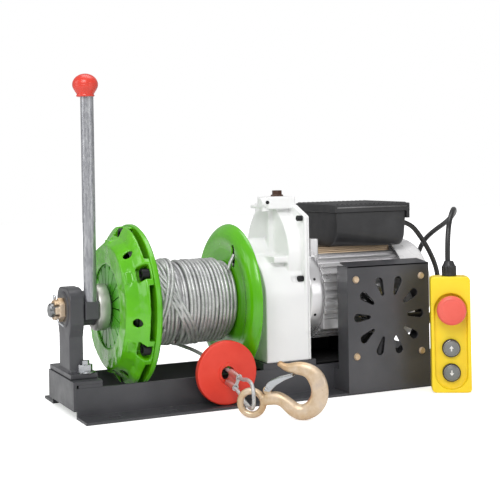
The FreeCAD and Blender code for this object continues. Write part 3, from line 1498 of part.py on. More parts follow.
def make_pendant():
    """Push-button pendant standing on the floor, turned towards the front left."""
    width, height, depth = s.pendant_width, s.pendant_height, s.pendant_depth
    front = vec(shield_end.number + 169.4, -179.4, 0)
    turn = FreeCAD.Rotation(FreeCAD.Vector(0, 0, 1), -s.pendant_turn.number)
    where = FreeCAD.Placement(front, turn)

    def put(name, shape):
        shape.Placement = where.multiply(shape.Placement)
        return node(name, built(name + "_shape", shape))

    half = width.number / 2
    split = depth.number - 16
    back = Part.makeBox(2 * half, depth.number - split, height.number, vec(-half, split, 0))
    back = round_edges(back, 5, lambda point: abs(abs(point.x) - half) < 0.1 and point.y > split)
    face = Part.makeBox(2 * half, split, height.number, vec(-half, 0, 0))
    face = round_edges(face, 5, lambda point: abs(abs(point.x) - half) < 0.1 and point.y < 0.1 or
                       (point.y < 0.1 and (point.z < 0.1 or point.z > height.number - 0.1)))
    recess = racetrack(20.5, 44, 142, 7.2).translated(vec(0, -0.01, 0))
    face = face.cut(recess)
    for z, radius in BUTTONS:
        face = face.cut(Part.makeCylinder(radius, 30, vec(0, 5, z), vec(0, 1, 0)))
    put("pendant_front", face)
    put("pendant_back", back)
    collars = []
    for z in (BUTTONS[1][0], BUTTONS[2][0]):
        collar = Part.makeCylinder(14.5, 5, vec(0, 2.19, z), vec(0, 1, 0))
        collars.append(collar.cut(Part.makeCylinder(s.button_radius.number + s.gap.number, 7,
            vec(0, 1, z), vec(0, 1, 0))))
    for name, z in (("up_button", BUTTONS[1][0]), ("down_button", BUTTONS[2][0])):
        cap = Part.makeCylinder(s.button_radius.number, 4.4, vec(0, -0.5, z), vec(0, 1, 0))
        stem = Part.makeCylinder(6, 15, vec(0, 3, z), vec(0, 1, 0))
        put(name, cap.fuse(stem).removeSplitter())
    z = BUTTONS[0][0]
    base = Part.makeCylinder(17, 4, vec(0, 3.18, z), vec(0, 1, 0)).cut(
        Part.makeCylinder(11.3, 6, vec(0, 2, z), vec(0, 1, 0)))
    put("button_collars", Part.makeCompound(collars + [base]))
    stem = Part.makeCylinder(11, 27, vec(0, -10, z), vec(0, 1, 0))
    head = Part.makeCylinder(s.mushroom_radius.number, 12, vec(0, -21.3, z), vec(0, 1, 0))
    head = round_circles(head, 5, -21.3)
    put("estop_button", head.fuse(stem).removeSplitter())
    gland = Part.makeCylinder(12, 4, vec(0, 23, height.number), vec(0, 0, 1))
    nut = Part.makeCylinder(11, 14, vec(0, 23, height.number + 4), vec(0, 0, 1))
    gland = gland.fuse(nut).cut(Part.makeCylinder(s.cable_radius.number, 30, vec(0, 23, height.number - 1)))
    put("pendant_gland", gland.removeSplitter())


BUTTONS = ((138, 11.3), (69, 6.3), (31, 6.3))


def racetrack(half_width_, low, high, depth):
    """A slot-shaped recess with round ends, pushed in along +Y."""
    bottom = Part.makeCylinder(half_width_ + 5, depth, vec(0, 0, low - 10), vec(0, 1, 0))
    top = Part.makeCylinder(half_width_ + 5, depth, vec(0, 0, high), vec(0, 1, 0))
    middle = Part.makeBox(2 * half_width_ + 10, depth, high - low + 10, vec(-half_width_ - 5, 0, low - 10))
    return bottom.fuse([top, middle]).removeSplitter()


def round_edges(shape, radius, choose):
    """Round the edges whose middles pass a test."""
    edges = [edge for edge in shape.Edges if choose(edge.CenterOfMass)]
    return shape.makeFillet(radius, edges)


def round_circles(shape, radius, y):
    """Round the circular edges at one place along Y."""
    edges = [edge for edge in shape.Edges if isinstance(edge.Curve,
        Part.Circle) and abs(edge.Curve.Center.y - y) < 0.01]
    return shape.makeFillet(radius, edges)


make_frame()
make_stand()
make_shaft()
make_nut()
make_lever()
make_release()
make_cover()
make_cover_screws()
make_diaphragm()
make_plates()
make_drum()
fine_start, mesh_angle = make_gears()
make_housing()
make_motor(fine_start, mesh_angle)
make_terminal_box()
make_guard()
make_stop_disc()
make_hook()
make_rope_end()
make_pendant()
make_cable()

doc.recompute()
problems = []
for item in doc.Objects:
    if "Invalid" in item.State or "Error" in item.State:
        problems.append(f"{item.Label}: {item.State}")
for name, feature in nodes.items():
    shape = feature.Shape
    if shape.isNull() or not shape.isValid() or not shape.Solids:
        problems.append(f"{name}: bad shape")
if problems:
    raise SystemExit("\n".join(problems))
os.makedirs("parts", exist_ok=True)
for name, feature in nodes.items():
    feature.Shape.exportStep(f"parts/{name}.step")
print(len(nodes), "sub-parts written")
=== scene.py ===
import json
from math import copysign, cos, exp, pi, radians, sin
import random
import bmesh
import bpy
from mathutils import Matrix, Vector, noise


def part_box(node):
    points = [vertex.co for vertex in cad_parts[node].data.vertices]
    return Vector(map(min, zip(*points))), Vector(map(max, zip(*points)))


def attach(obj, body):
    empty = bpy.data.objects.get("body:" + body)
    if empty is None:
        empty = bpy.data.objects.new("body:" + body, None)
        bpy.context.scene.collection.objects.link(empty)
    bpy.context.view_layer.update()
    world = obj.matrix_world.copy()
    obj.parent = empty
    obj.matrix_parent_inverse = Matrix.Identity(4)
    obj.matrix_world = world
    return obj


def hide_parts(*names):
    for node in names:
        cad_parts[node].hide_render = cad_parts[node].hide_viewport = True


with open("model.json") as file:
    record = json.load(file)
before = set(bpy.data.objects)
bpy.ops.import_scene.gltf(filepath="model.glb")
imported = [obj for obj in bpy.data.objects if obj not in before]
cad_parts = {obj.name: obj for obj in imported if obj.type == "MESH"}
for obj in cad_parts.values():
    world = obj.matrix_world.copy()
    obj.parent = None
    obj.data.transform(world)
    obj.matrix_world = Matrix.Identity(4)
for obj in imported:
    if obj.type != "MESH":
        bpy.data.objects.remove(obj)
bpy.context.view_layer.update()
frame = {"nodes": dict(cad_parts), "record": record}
MM = 0.001


def new_object(name, data):
    """A new object in the scene."""
    item = bpy.data.objects.new(name, data)
    bpy.context.scene.collection.objects.link(item)
    return item


def new_mesh(name, shape):
    """A mesh from a shape's corners and faces."""
    vertices, faces = shape
    mesh = bpy.data.meshes.new(name)
    mesh.from_pydata([tuple(vertex) for vertex in vertices], [], faces)
    return mesh


# Camera, as measured from the photograph

PHOTO_SIDE = 500
FOCAL_PIXELS = 1138.83
PRINCIPAL_ROW = 168.02
CAMERA_PLACE = Vector((-0.79368, -1.70542, 0.3697))
CAMERA_YAW = radians(25.14)
CAMERA_PITCH = radians(0.05)
CAMERA_ROLL = radians(1.0)


def make_camera():
    """The camera that took the photograph."""
    forward = Vector((
        sin(CAMERA_YAW) * cos(CAMERA_PITCH),
        cos(CAMERA_YAW) * cos(CAMERA_PITCH),
        -sin(CAMERA_PITCH),
    ))
    level = Vector((cos(CAMERA_YAW), -sin(CAMERA_YAW), 0))
    down = forward.cross(level)
    right = cos(CAMERA_ROLL) * level + sin(CAMERA_ROLL) * down
    below = -sin(CAMERA_ROLL) * level + cos(CAMERA_ROLL) * down
    data = bpy.data.cameras.new("camera")
    data.sensor_width = 36
    data.lens = FOCAL_PIXELS / PHOTO_SIDE * data.sensor_width
    data.shift_y = -(PHOTO_SIDE / 2 - PRINCIPAL_ROW) / PHOTO_SIDE
    data.clip_end = 20
    camera = new_object("camera", data)
    axes = Matrix((right, -below, -forward)).transposed().to_4x4()
    camera.matrix_world = Matrix.Translation(CAMERA_PLACE) @ axes
    bpy.context.scene.camera = camera


# Colours and materials

def srgb(red, green, blue):
    """A linear colour from 0 to 255 screen values."""
    def linear(value):
        value = value / 255
        return value / 12.92 if value <= 0.04045 else ((value + 0.055) / 1.055) ** 2.4
    return (linear(red), linear(green), linear(blue), 1.0)


MATERIALS = {}

# Sockets of a mix node that carry colours
MIX_FIRST, MIX_SECOND, MIX_RESULT = 6, 7, 2


class Nodes:
    """A short way to write a node material."""

    def __init__(self, name):
        self.material = bpy.data.materials.new(name)
        MATERIALS[name] = self.material
        self.material.use_nodes = True
        self.tree = self.material.node_tree
        self.shader = self.tree.nodes["Principled BSDF"]
        self.where = self.add("ShaderNodeTexCoord").outputs["Object"]

    def add(self, kind, **inputs):
        """A new node with some of its sockets set or linked."""
        node = self.tree.nodes.new(kind)
        for name, value in inputs.items():
            self.put(node, name.replace("_", " "), value)
        return node

    def put(self, node, socket, value):
        """Link an output to a socket, or set the socket's own value."""
        if isinstance(value, bpy.types.NodeSocket):
            self.tree.links.new(value, node.inputs[socket])
        else:
            node.inputs[socket].default_value = value

    def stretched(self, stretch):
        """The object's own coordinates, stretched along the axes where asked."""
        if not stretch:
            return self.where
        return self.add("ShaderNodeMapping", Vector=self.where, Scale=stretch).outputs["Vector"]

    def noise(self, scale, detail=4.0, rough=0.55, stretch=None):
        """Noise from 0 to 1."""
        place = self.stretched(stretch)
        node = self.add("ShaderNodeTexNoise", Vector=place, Scale=scale, Detail=detail, Roughness=rough)
        return node.outputs["Fac"]

    def cells(self, scale, stretch):
        """A colour for each cell of a crystal pattern."""
        return self.add("ShaderNodeTexVoronoi", Vector=self.stretched(stretch), Scale=scale).outputs["Color"]

    def ramp(self, value, stops):
        """A colour ramp from (position, grey level or screen colour) stops."""
        node = self.add("ShaderNodeValToRGB", Fac=value)
        elements = node.color_ramp.elements
        while len(elements) < len(stops):
            elements.new(0.5)
        for element, (position, colour) in zip(elements, stops):
            element.position = position
            element.color = srgb(*colour) if hasattr(colour, "__len__") else (colour, colour, colour, 1)
        return node.outputs["Color"]

    def mix(self, factor, first, second):
        """A mix of two colours."""
        node = self.add("ShaderNodeMix")
        node.data_type = "RGBA"
        self.put(node, "Factor", factor)
        self.put(node, MIX_FIRST, first)
        self.put(node, MIX_SECOND, second)
        return node.outputs[MIX_RESULT]

    def maths(self, kind, first, second):
        """One arithmetic step."""
        node = self.add("ShaderNodeMath")
        node.operation = kind
        self.put(node, 0, first)
        self.put(node, 1, second)
        return node.outputs[0]

    def surface(self, colour, rough, metal, bumps=(), bevel=0.0, coat=0.0):
        """Join colour, roughness, metal, bumps and soft edges to the shader."""
        self.put(self.shader, "Base Color", colour)
        self.put(self.shader, "Roughness", rough)
        self.put(self.shader, "Metallic", metal)
        if coat:
            self.put(self.shader, "Coat Weight", coat)
            self.put(self.shader, "Coat Roughness", 0.12)
        normal = None
        if bevel:
            edge = self.add("ShaderNodeBevel", Radius=bevel)
            edge.samples = 6
            normal = edge.outputs["Normal"]
        for height, strength, distance in bumps:
            bump = self.add("ShaderNodeBump", Height=height, Strength=strength, Distance=distance)
            if normal:
                self.put(bump, "Normal", normal)
            normal = bump.outputs["Normal"]
        if normal:
            self.put(self.shader, "Normal", normal)


def paint(name, base, dark, light, rough, grain, grain_depth, bevel, coat, wear=0.0):
    """Sprayed paint: faint patches, orange-peel grain and rubbed edges."""
    n = Nodes(name)
    colour = n.ramp(n.noise(9, 5), [(0.3, dark), (0.52, base), (0.75, light)])
    if wear:
        speck = n.ramp(n.noise(160, 6, 0.7), [(0.66, 0.0), (0.72, 1.0)])
        colour = n.mix(n.maths("MULTIPLY", speck, wear), colour, srgb(*light))
    shine = n.ramp(n.noise(40, 4), [(0.3, rough * 0.85), (0.7, min(rough * 1.25, 1))])
    bumps = [(n.noise(grain, 2), 0.35, grain_depth), (n.noise(60, 3), 0.25, 0.0002)]
    n.surface(colour, shine, 0.0, bumps, bevel, coat)


def metal(name, base, dark, light, rough, stretch=None, scale=120, bevel=0.0007, amount=1.0, depth=0.00004):
    """Bare or plated metal with tool marks and patchy tone."""
    n = Nodes(name)
    colour = n.ramp(n.noise(scale * 0.12, 4, 0.5, stretch), [(0.2, dark), (0.5, base), (0.8, light)])
    shine = n.ramp(n.noise(scale * 0.4, 3, 0.5, stretch), [(0.3, rough * 0.85), (0.72, min(rough * 1.25, 1))])
    bumps = [(n.noise(scale * 5, 2, 0.5, stretch), 0.12, depth)]
    n.surface(colour, shine, amount, bumps, bevel)


def plastic(name, base, dark, light, rough, grain=1400, depth=0.00004, bevel=0.001, coat=0.0):
    """Moulded plastic with a fine spark-eroded grain."""
    n = Nodes(name)
    colour = n.ramp(n.noise(14, 4), [(0.3, dark), (0.5, base), (0.72, light)])
    shine = n.ramp(n.noise(70, 4), [(0.3, rough * 0.85), (0.7, min(rough * 1.2, 1))])
    n.surface(colour, shine, 0.0, [(n.noise(grain, 2), 0.4, depth)], bevel, coat)


def galvanised():
    """Zinc spangle: pale and dark crystals with drawn scratches along the rod."""
    n = Nodes("galvanised")
    tones = [(0.2, (138, 140, 146)), (0.55, (162, 163, 168)), (0.85, (186, 188, 190))]
    bright = n.ramp(n.cells(420, (1, 1, 0.35)), tones)
    drawn = n.noise(260, 6, 0.7, (1, 1, 0.08))
    streaks = n.ramp(drawn, [(0.36, (128, 129, 136)), (0.62, (200, 201, 204))])
    colour = n.mix(0.55, bright, streaks)
    shine = n.ramp(n.noise(120, 5), [(0.3, 0.3), (0.7, 0.48)])
    n.surface(colour, shine, 0.7, [(n.noise(400, 5, 0.6, (1, 1, 0.15)), 0.4, 0.0001)], 0.0006)


def rope_wire():
    """Bright drawn wires in random patches from dark grey to near white: painted shade and painted
    highlights.
    """
    n = Nodes("rope_steel")
    tones = [(0.3, (136, 136, 138)), (0.52, (192, 192, 193)), (0.75, (238, 238, 238))]
    colour = n.ramp(n.noise(55, 6, 0.7), tones)
    pitch = n.ramp(n.noise(700, 3), [(0.35, (170, 170, 171)), (0.7, (240, 240, 240))])
    colour = n.mix(0.45, colour, pitch)
    shine = n.ramp(n.noise(300, 3), [(0.3, 0.34), (0.7, 0.55)])
    n.surface(colour, shine, 0.62, [(n.noise(1500, 2), 0.6, 0.0002)])


def yellow_zinc():
    """Yellow passivated zinc: pale gold with rosy and bare patches."""
    n = Nodes("yellow_zinc")
    tones = [(0.28, (186, 152, 114)), (0.45, (206, 180, 146)), (0.6, (220, 200, 176)),
             (0.78, (200, 182, 170))]
    tone = n.ramp(n.noise(26, 6, 0.65), tones)
    spots = n.ramp(n.noise(120, 5, 0.7), [(0.6, 0.0), (0.72, 1.0)])
    colour = n.mix(n.maths("MULTIPLY", spots, 0.35), tone, srgb(136, 106, 76))
    shine = n.ramp(n.noise(60, 5), [(0.3, 0.36), (0.7, 0.6)])
    bumps = [(n.noise(160, 4), 0.4, 0.00025), (n.noise(900, 2), 0.3, 0.00005)]
    n.surface(colour, shine, 0.72, bumps, 0.0008)


def make_materials():
    """Every paint, metal, plastic and rubber of the winch."""
    paint("frame_paint", (66, 66, 70), (56, 56, 60), (80, 80, 84), 0.38, 1100, 0.00006, 0.0012, 0.1, 0.25)
    metal("bearing_steel", (196, 194, 190), (170, 168, 164), (226, 225, 222), 0.42, amount=0.75)
    metal("zinc", (196, 198, 201), (150, 152, 156), (228, 230, 232), 0.28)
    paint("white_paint", (247, 247, 247), (241, 241, 242), (251, 251, 251), 0.34, 420, 0.00008, 0.0025,
          0.25)
    metal("black_screw", (38, 38, 40), (22, 22, 24), (66, 66, 68), 0.42, amount=0.6)
    plastic("brown_plastic", (84, 54, 38), (66, 42, 30), (104, 70, 50), 0.34)
    metal("cast_aluminium", (232, 231, 232), (220, 219, 221), (241, 241, 242), 0.3, scale=60, bevel=0.0012,
          amount=0.75)
    metal("cover_aluminium", (244, 243, 244), (236, 236, 238), (250, 250, 251), 0.3, scale=60, bevel=0.0008,
          amount=0.15)
    plastic("black_plastic", (42, 42, 44), (34, 34, 36), (56, 56, 58), 0.42)
    yellow_zinc()
    plastic("red_rubber", (226, 58, 40), (212, 48, 34), (236, 74, 56), 0.36, 700, 0.00008)
    metal("ferrule", (206, 207, 208), (160, 161, 164), (232, 232, 232), 0.3, scale=200, depth=0.0002)
    rope_wire()
    plastic("yellow_plastic", (253, 222, 40), (250, 214, 32), (254, 228, 52), 0.34)
    plastic("grey_plastic", (126, 128, 126), (104, 106, 104), (150, 152, 150), 0.4)
    plastic("cable_rubber", (40, 40, 41), (30, 30, 31), (54, 54, 55), 0.3, 500, 0.0001, 0)
    metal("shaft_steel", (128, 130, 132), (84, 86, 88), (182, 184, 186), 0.28, (1, 6, 6), 140)
    plastic("lining", (74, 62, 52), (52, 44, 38), (104, 88, 74), 0.8, 500, 0.0002)
    metal("gear_steel", (118, 120, 122), (80, 82, 84), (166, 168, 170), 0.3)
    galvanised()
    plastic("red_plastic", (222, 52, 44), (204, 40, 34), (232, 70, 58), 0.3, 300, 0.000004, 0.001, 0.15)
    paint("green_paint", (90, 180, 8), (78, 166, 4), (106, 196, 20), 0.22, 700, 0.00005, 0.0013, 0.35)
    paint("spring_steel", (78, 168, 36), (50, 120, 24), (100, 190, 56), 0.3, 700, 0.00006, 0.0008, 0.2)
    metal("plate_iron", (92, 92, 92), (62, 62, 62), (124, 124, 124), 0.45)
    # Near-black painted shade, for the slot backing and the motor cradle.
    plastic("painted_shade_black", (12, 12, 13), (8, 8, 9), (18, 18, 19), 0.7)
    # Light grey painted highlight, for the line along the terminal box lid.
    plastic("highlight_grey_plastic", (104, 104, 105), (84, 84, 85), (124, 124, 125), 0.35)
    # Brown and cream: painted reflection and painted shade on the fins under the terminal box.
    metal("fins_painted_reflection", (190, 168, 142), (116, 92, 70), (226, 214, 196), 0.35, (0.15, 6, 6), 70)
    plastic("ball_plastic", (222, 62, 46), (210, 52, 38), (232, 76, 58), 0.3, 900, 0.000004, 0, 0.2)
    # Pinkish red: the mushroom head's red with painted light.
    plastic("painted_light_red_plastic", (236, 98, 84), (230, 90, 76), (242, 108, 96), 0.34)
    plastic("arrow_white", (232, 232, 228), (220, 220, 216), (242, 242, 240), 0.5)


def dress_nodes():
    """Give every piece that is shown as built its own material."""
    slots = {part["node"]: part["material_slot"] for part in frame["record"]["subparts"]}
    for name, item in frame["nodes"].items():
        for holder in item.material_slots:
            holder.link = "OBJECT"
            holder.material = MATERIALS[slots[name]]


# Helpers that make pieces

def add_mesh(name, shape, material, body, smooth=True):
    """A piece from a shape's corners and faces, riding on a body."""
    mesh = new_mesh(name, shape)
    mesh.update()
    for face in mesh.polygons:
        face.use_smooth = smooth
    piece = new_object(name, mesh)
    mesh.materials.append(MATERIALS[material])
    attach(piece, body)
    return piece


def curve_through(name, points, resolution):
    """A smooth open curve with the route's points as its control points."""
    curve = bpy.data.curves.new(name, "CURVE")
    curve.dimensions = "3D"
    curve.resolution_u = resolution
    spline = curve.splines.new("NURBS")
    spline.points.add(len(points) - 1)
    for point, place in zip(spline.points, points):
        point.co = (*place, 1)
    spline.order_u = 3
    spline.use_endpoint_u = True
    return curve


def nurbs(name, points, radius, material, body):
    """A round cord along a route."""
    curve = curve_through(name, points, 12)
    curve.bevel_depth = radius
    curve.bevel_resolution = 6
    curve.use_fill_caps = True
    piece = new_object(name, curve)
    curve.materials.append(MATERIALS[material])
    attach(piece, body)
    return piece


def read_line(points):
    """Evenly dense points read from the smooth curve through a route."""
    curve = curve_through("line", points, 24)
    holder = bpy.data.objects.new("line", curve)
    mesh = bpy.data.meshes.new_from_object(holder)
    line = [vertex.co.copy() for vertex in mesh.vertices]
    bpy.data.objects.remove(holder)
    bpy.data.meshes.remove(mesh)
    bpy.data.curves.remove(curve)
    return line


def length_of(line):
    """The length along a line of points."""
    return sum((end - start).length for start, end in zip(line, line[1:]))


def respaced(line, step):
    """Points a fixed distance apart along a line."""
    result = [line[0].copy()]
    left = step
    for start, end in zip(line, line[1:]):
        length = (end - start).length
        used = 0.0
        while length - used >= left and length > 0:
            used += left
            result.append(start.lerp(end, used / length))
            left = step
        left -= length - used
    result.append(line[-1].copy())
    return result


def circle(sides):
    """Cosine and sine at even steps once round."""
    angles = [2 * pi * side / sides for side in range(sides)]
    return [(cos(angle), sin(angle)) for angle in angles]


def square_to(axis):
    """Two directions square to an axis and to each other."""
    across = axis.orthogonal().normalized()
    return across, axis.cross(across)


def tube_faces(rings, sides, capped=True):
    """Faces between rings of corners, and the flat ends."""
    faces = []
    for ring in range(rings - 1):
        for side in range(sides):
            following = (side + 1) % sides
            a, b = ring * sides + side, ring * sides + following
            faces.append((a, b, b + sides, a + sides))
    if capped:
        last = (rings - 1) * sides
        faces.append(tuple(range(sides))[::-1])
        faces.append(tuple(range(last, last + sides)))
    return faces


def merged(shapes):
    """Several shapes as one."""
    vertices, faces = [], []
    for some, more in shapes:
        offset = len(vertices)
        vertices += some
        faces += [tuple(index + offset for index in face) for face in more]
    return vertices, faces


def rope_rings(line, radius, sides=18, depth=0.2):
    """The shape of a laid rope: a lobed section that turns along the line."""
    vertices = []
    tangent = (line[1] - line[0]).normalized()
    across = tangent.orthogonal().normalized()
    travelled = 0.0
    for index, point in enumerate(line):
        after = line[min(index + 1, len(line) - 1)]
        before = line[max(index - 1, 0)]
        tangent = (after - before).normalized()
        across = (across - tangent * across.dot(tangent)).normalized()
        other = tangent.cross(across)
        if index:
            travelled += (point - line[index - 1]).length
        twist = 2 * pi * travelled / ROPE_LAY
        for corner in range(sides):
            angle = 2 * pi * corner / sides
            lobe = abs(cos(ROPE_STRANDS / 2 * (angle - twist)))
            reach = radius * (1 - depth + depth * lobe ** 0.7)
            vertices.append(point + (across * cos(angle) + other * sin(angle)) * reach)
    return vertices, tube_faces(len(line), sides)


# Control cable and free rope end, with their routes in millimetres

CABLE_OUT = [
    (279, -29, 271), (299, -29, 267), (321, -28, 243), (341, -27, 214), (355, -26, 184), (361, -22, 150),
    (359, -12, 116), (352, 4, 84), (344, 24, 54), (339, 50, 28), (339, 82, 10), (336, 112, 4.6),
    (316, 136, 4.3), (284, 137, 4.3), (254, 131, 4.3), (228, 129.75, 4.3),
]
CABLE_IN = [
    (229, 230, 11.6), (260, 229, 11), (292, 219, 8), (320, 199, 5.5), (340, 171, 8), (351, 141, 24),
    (355, 114, 54), (358, 92, 90), (360, 74, 130), (361, 58, 168), (362, 46, 203), (364, 29, 231),
    (367, 0, 250), (367, -42, 268), (352, -88, 286), (320, -128, 297), (285, -159.5, 262),
    (285, -159.5, 211),
]
COIL_CENTRE = (225, 182)
COIL_RADIUS = 48
COIL_TURNS = 2.5
COIL_POINTS = 16
COIL_FLOOR = 4.3
COIL_RISE = 7.4
CABLE_RADIUS = 4.25
ROPE_START = [
    (-126, 22, 87.4), (-119, 7, 84), (-111, -10, 81), (-104, -28, 77), (-98, -47, 71), (-92.5, -65, 65.5),
    (-89, -81, 62), (-87, -97, 60.5),
]
ROPE_LOOP = [
    (-13, 53, 20), (-2, 52.5, 3), (5, 46, -9), (6.5, 34, -12), (5, 22, -5), (-0.8, 10.6, 4.4),
    (-11, 16, 14), (-21, 24, 23),
]
HOOK_FOOT = Vector((-84.1, -185.2, 0))
HOOK_ALONG = Vector((0.769, -0.64, 0)).normalized()
HOOK_NORMAL = Vector((-HOOK_ALONG.y, HOOK_ALONG.x, 0))
FERRULE_WAY = Vector((0.16, -0.955, -0.25)).normalized()
FERRULE_PITCH = 16
ROPE_RADIUS = 3
ROPE_LAY = 0.04
ROPE_STEP = 0.0012
ROPE_STRANDS = 6


def hook_at(u, z, out):
    """A point in the hook's own upright plane, and how far behind it."""
    return HOOK_FOOT + HOOK_ALONG * u + Vector((0, 0, z)) + HOOK_NORMAL * out


def coil_points():
    """The stored cable: an outer turn, an inner turn and the last turn on top."""
    points = []
    for step in range(1, int(COIL_TURNS * COIL_POINTS)):
        turns = step / COIL_POINTS
        angle = -pi / 2 - 2 * pi * turns
        inward = min(max((turns - 0.7) / 0.3, 0), 1)
        upward = min(max((turns - 1.4) / 0.35, 0), 1)
        radius = COIL_RADIUS + CABLE_RADIUS - 2 * CABLE_RADIUS * inward + CABLE_RADIUS * upward
        x = COIL_CENTRE[0] + radius * cos(angle)
        y = COIL_CENTRE[1] + radius * sin(angle)
        points.append((x, y, COIL_FLOOR + COIL_RISE * upward))
    return points


def make_cable():
    """Control cable from the terminal box, by its coil behind the base, to the pendant."""
    route = [Vector(point) * MM for point in CABLE_OUT + coil_points() + CABLE_IN]
    cable = nurbs("control_cable", route, CABLE_RADIUS * MM, "cable_rubber", "base")
    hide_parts("control_cable_out", "control_cable_in", "control_cable_coil")
    length = length_of(read_line(route))


def make_rope_end():
    """Free end of the wire rope, with its strands, from the drum to the ferrule."""
    entry = Vector(ROPE_START[-1])
    down = Vector((-0.25, 0, -0.95))
    down = (down - FERRULE_WAY * down.dot(FERRULE_WAY)).normalized()
    low = entry + down * FERRULE_PITCH
    route = [Vector(point) for point in ROPE_START] + [entry + FERRULE_WAY * 48]
    route += [hook_at(*point) for point in ROPE_LOOP]
    route += [low + FERRULE_WAY * 41, low + FERRULE_WAY * 24]
    route = [point * MM for point in route]
    line = respaced(read_line(route), ROPE_STEP)
    rope = add_mesh("rope_free_end", rope_rings(line, ROPE_RADIUS * MM), "rope_steel", "base")
    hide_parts("rope_end")


# Wound rope on the drum

SHAFT_HEIGHT = 0.156
DRUM_AXIS = Vector((0, 0, SHAFT_HEIGHT))
WINDING_START, WINDING_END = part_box("rope_winding")[0][0], -0.0468
STEPS_PER_TURN = 130
END_MARGIN = 0.0032
CORE_RADIUS = 0.0585
CORE_MARGIN = 0.0005


def wraps(middle, radius, turns, pitch, slant, phase, seed, wander=0.0006):
    """Points of a wound stretch whose turns slant from top to bottom and wander a little."""
    chance = random.Random(seed)
    shifts = [chance.uniform(-wander, wander) for _ in range(int(turns) + 3)]
    swells = [chance.uniform(-0.0009, 0.0007) for _ in range(int(turns) + 3)]
    points = []
    steps = int(turns * STEPS_PER_TURN)
    for step in range(steps + 1):
        turn = turns * step / steps
        angle = 2 * pi * turn + phase
        low = int(turn)
        blend = turn - low
        blend = blend * blend * (3 - 2 * blend)
        shift = shifts[low] * (1 - blend) + shifts[low + 1] * blend
        swell = swells[low] * (1 - blend) + swells[low + 1] * blend
        x = middle + (turn - turns / 2) * pitch + shift + slant * cos(angle)
        x = min(max(x, WINDING_START + END_MARGIN), WINDING_END - END_MARGIN)
        reach = radius(x) + swell
        points.append(Vector((x, reach * sin(angle), DRUM_AXIS.z + reach * cos(angle))))
    return points


def make_winding():
    """Wound rope: plain inner layers, a slanting left heap, an even right heap and crossing turns on top."""
    length = WINDING_END - WINDING_START
    middle = (WINDING_START + WINDING_END) / 2
    dip = WINDING_START + length * 0.41

    def heap(x):
        """Radius of the heaped turns: a dip between two heaps and a fall towards the right end."""
        gap = exp(-((x - dip) / 0.006) ** 2)
        right = max(0.0, (x - (WINDING_END - 0.024)) / 0.024)
        return 0.0646 - 0.0035 * gap - 0.006 * right * right

    def flat(reach):
        """An even radius."""
        return lambda x: reach

    heaps = [
        (0.026, heap, 7.5, 0.0064, -0.006, 0.4, 11, 0.001),
        (0.1, heap, 12.5, 0.0063, -0.0016, 1.7, 17, 0.0009),
        (0.05, flat(0.0668), 3, 0.0074, -0.042, 2.9, 23, 0.0016),
        (0.03, flat(0.0682), 2, 0.0068, 0.021, 4.2, 29, 0.001),
        (0.052, flat(0.067), 1, 0.006, -0.012, 0.2, 31, 0.001),
    ]
    radius = ROPE_RADIUS * MM * 1.04
    shapes = [rope_rings(wraps(middle, flat(0.0588), length / 0.0062, 0.0062, 0.0, 0.0, 3), radius, 12, 0.2)]
    for start, *shape in heaps:
        shapes.append(rope_rings(wraps(WINDING_START + start, *shape), radius, 12, 0.24))
    core, sides = [], 96
    for x in (WINDING_START + CORE_MARGIN, WINDING_END - CORE_MARGIN):
        for cosine, sine in circle(sides):
            core.append(Vector((x, CORE_RADIUS * sine, DRUM_AXIS.z + CORE_RADIUS * cosine)))
    shapes.append((core, tube_faces(2, sides, capped=False)))
    piece = add_mesh("wound_rope", merged(shapes), "rope_steel", "drum")
    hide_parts("rope_winding")


# Turned and cast pieces

BROAD_LUMPS, FINE_LUMPS, FINE_SHARE = 38, 90, 0.35
MERGE_GAP = 0.000002
THREAD_DEPTH = 0.6


def lathe(name, profile, origin, axis, material, body, sides=96):
    """A turned piece from (along, radius) corners about an axis through the origin."""
    origin, axis = Vector(origin), Vector(axis).normalized()
    across, other = square_to(axis)
    vertices = []
    for along, reach in profile:
        centre = origin + axis * along
        vertices += [centre + (across * cosine + other * sine) * reach for cosine, sine in circle(sides)]
    return add_mesh(name, (vertices, tube_faces(len(profile), sides)), material, body)


def block(low, high):
    """Corners and faces of a box."""
    (x0, y0, z0), (x1, y1, z1) = low, high
    corners = [(x0, y0, z0), (x1, y0, z0), (x1, y1, z0), (x0, y1, z0),
               (x0, y0, z1), (x1, y0, z1), (x1, y1, z1), (x0, y1, z1)]
    faces = [(0, 3, 2, 1), (4, 5, 6, 7), (0, 1, 5, 4), (1, 2, 6, 5), (2, 3, 7, 6), (3, 0, 4, 7)]
    return corners, faces


def prism(outline, axis, low, high):
    """Corners and faces of an outline drawn across an axis and pushed along it."""
    count = len(outline)
    corners = []
    for along in (low, high):
        for first, second in outline:
            corner = [first, second]
            corner.insert(axis, along)
            corners.append(tuple(corner))
    return corners, tube_faces(2, count)


def bar(start, end, radius, sides=48, end_radius=None):
    """Corners and faces of a round bar or cone between two points."""
    start, end = Vector(start), Vector(end)
    across, other = square_to((end - start).normalized())
    corners = []
    for centre, reach in ((start, radius), (end, radius if end_radius is None else end_radius)):
        for cosine, sine in circle(sides):
            corners.append(tuple(centre + (across * cosine + other * sine) * reach))
    return corners, tube_faces(2, sides)


def hoop(profile, origin, axis, sides=96):
    """Corners and faces of a closed section of (along, radius) corners turned about an axis."""
    origin, axis = Vector(origin), Vector(axis).normalized()
    across, other = square_to(axis)
    corners, faces = [], []
    count = len(profile)
    for cosine, sine in circle(sides):
        out = across * cosine + other * sine
        corners += [tuple(origin + axis * along + out * reach) for along, reach in profile]
    for side in range(sides):
        near, far = side * count, (side + 1) % sides * count
        faces += [(near + i, near + (i + 1) % count, far + (i + 1) % count, far + i) for i in range(count)]
    return corners, faces


def drum_hoop(profile, sides=96):
    """A closed section of (x, radius) corners turned about the drum's axis."""
    return hoop(profile, DRUM_AXIS, (1, 0, 0), sides)


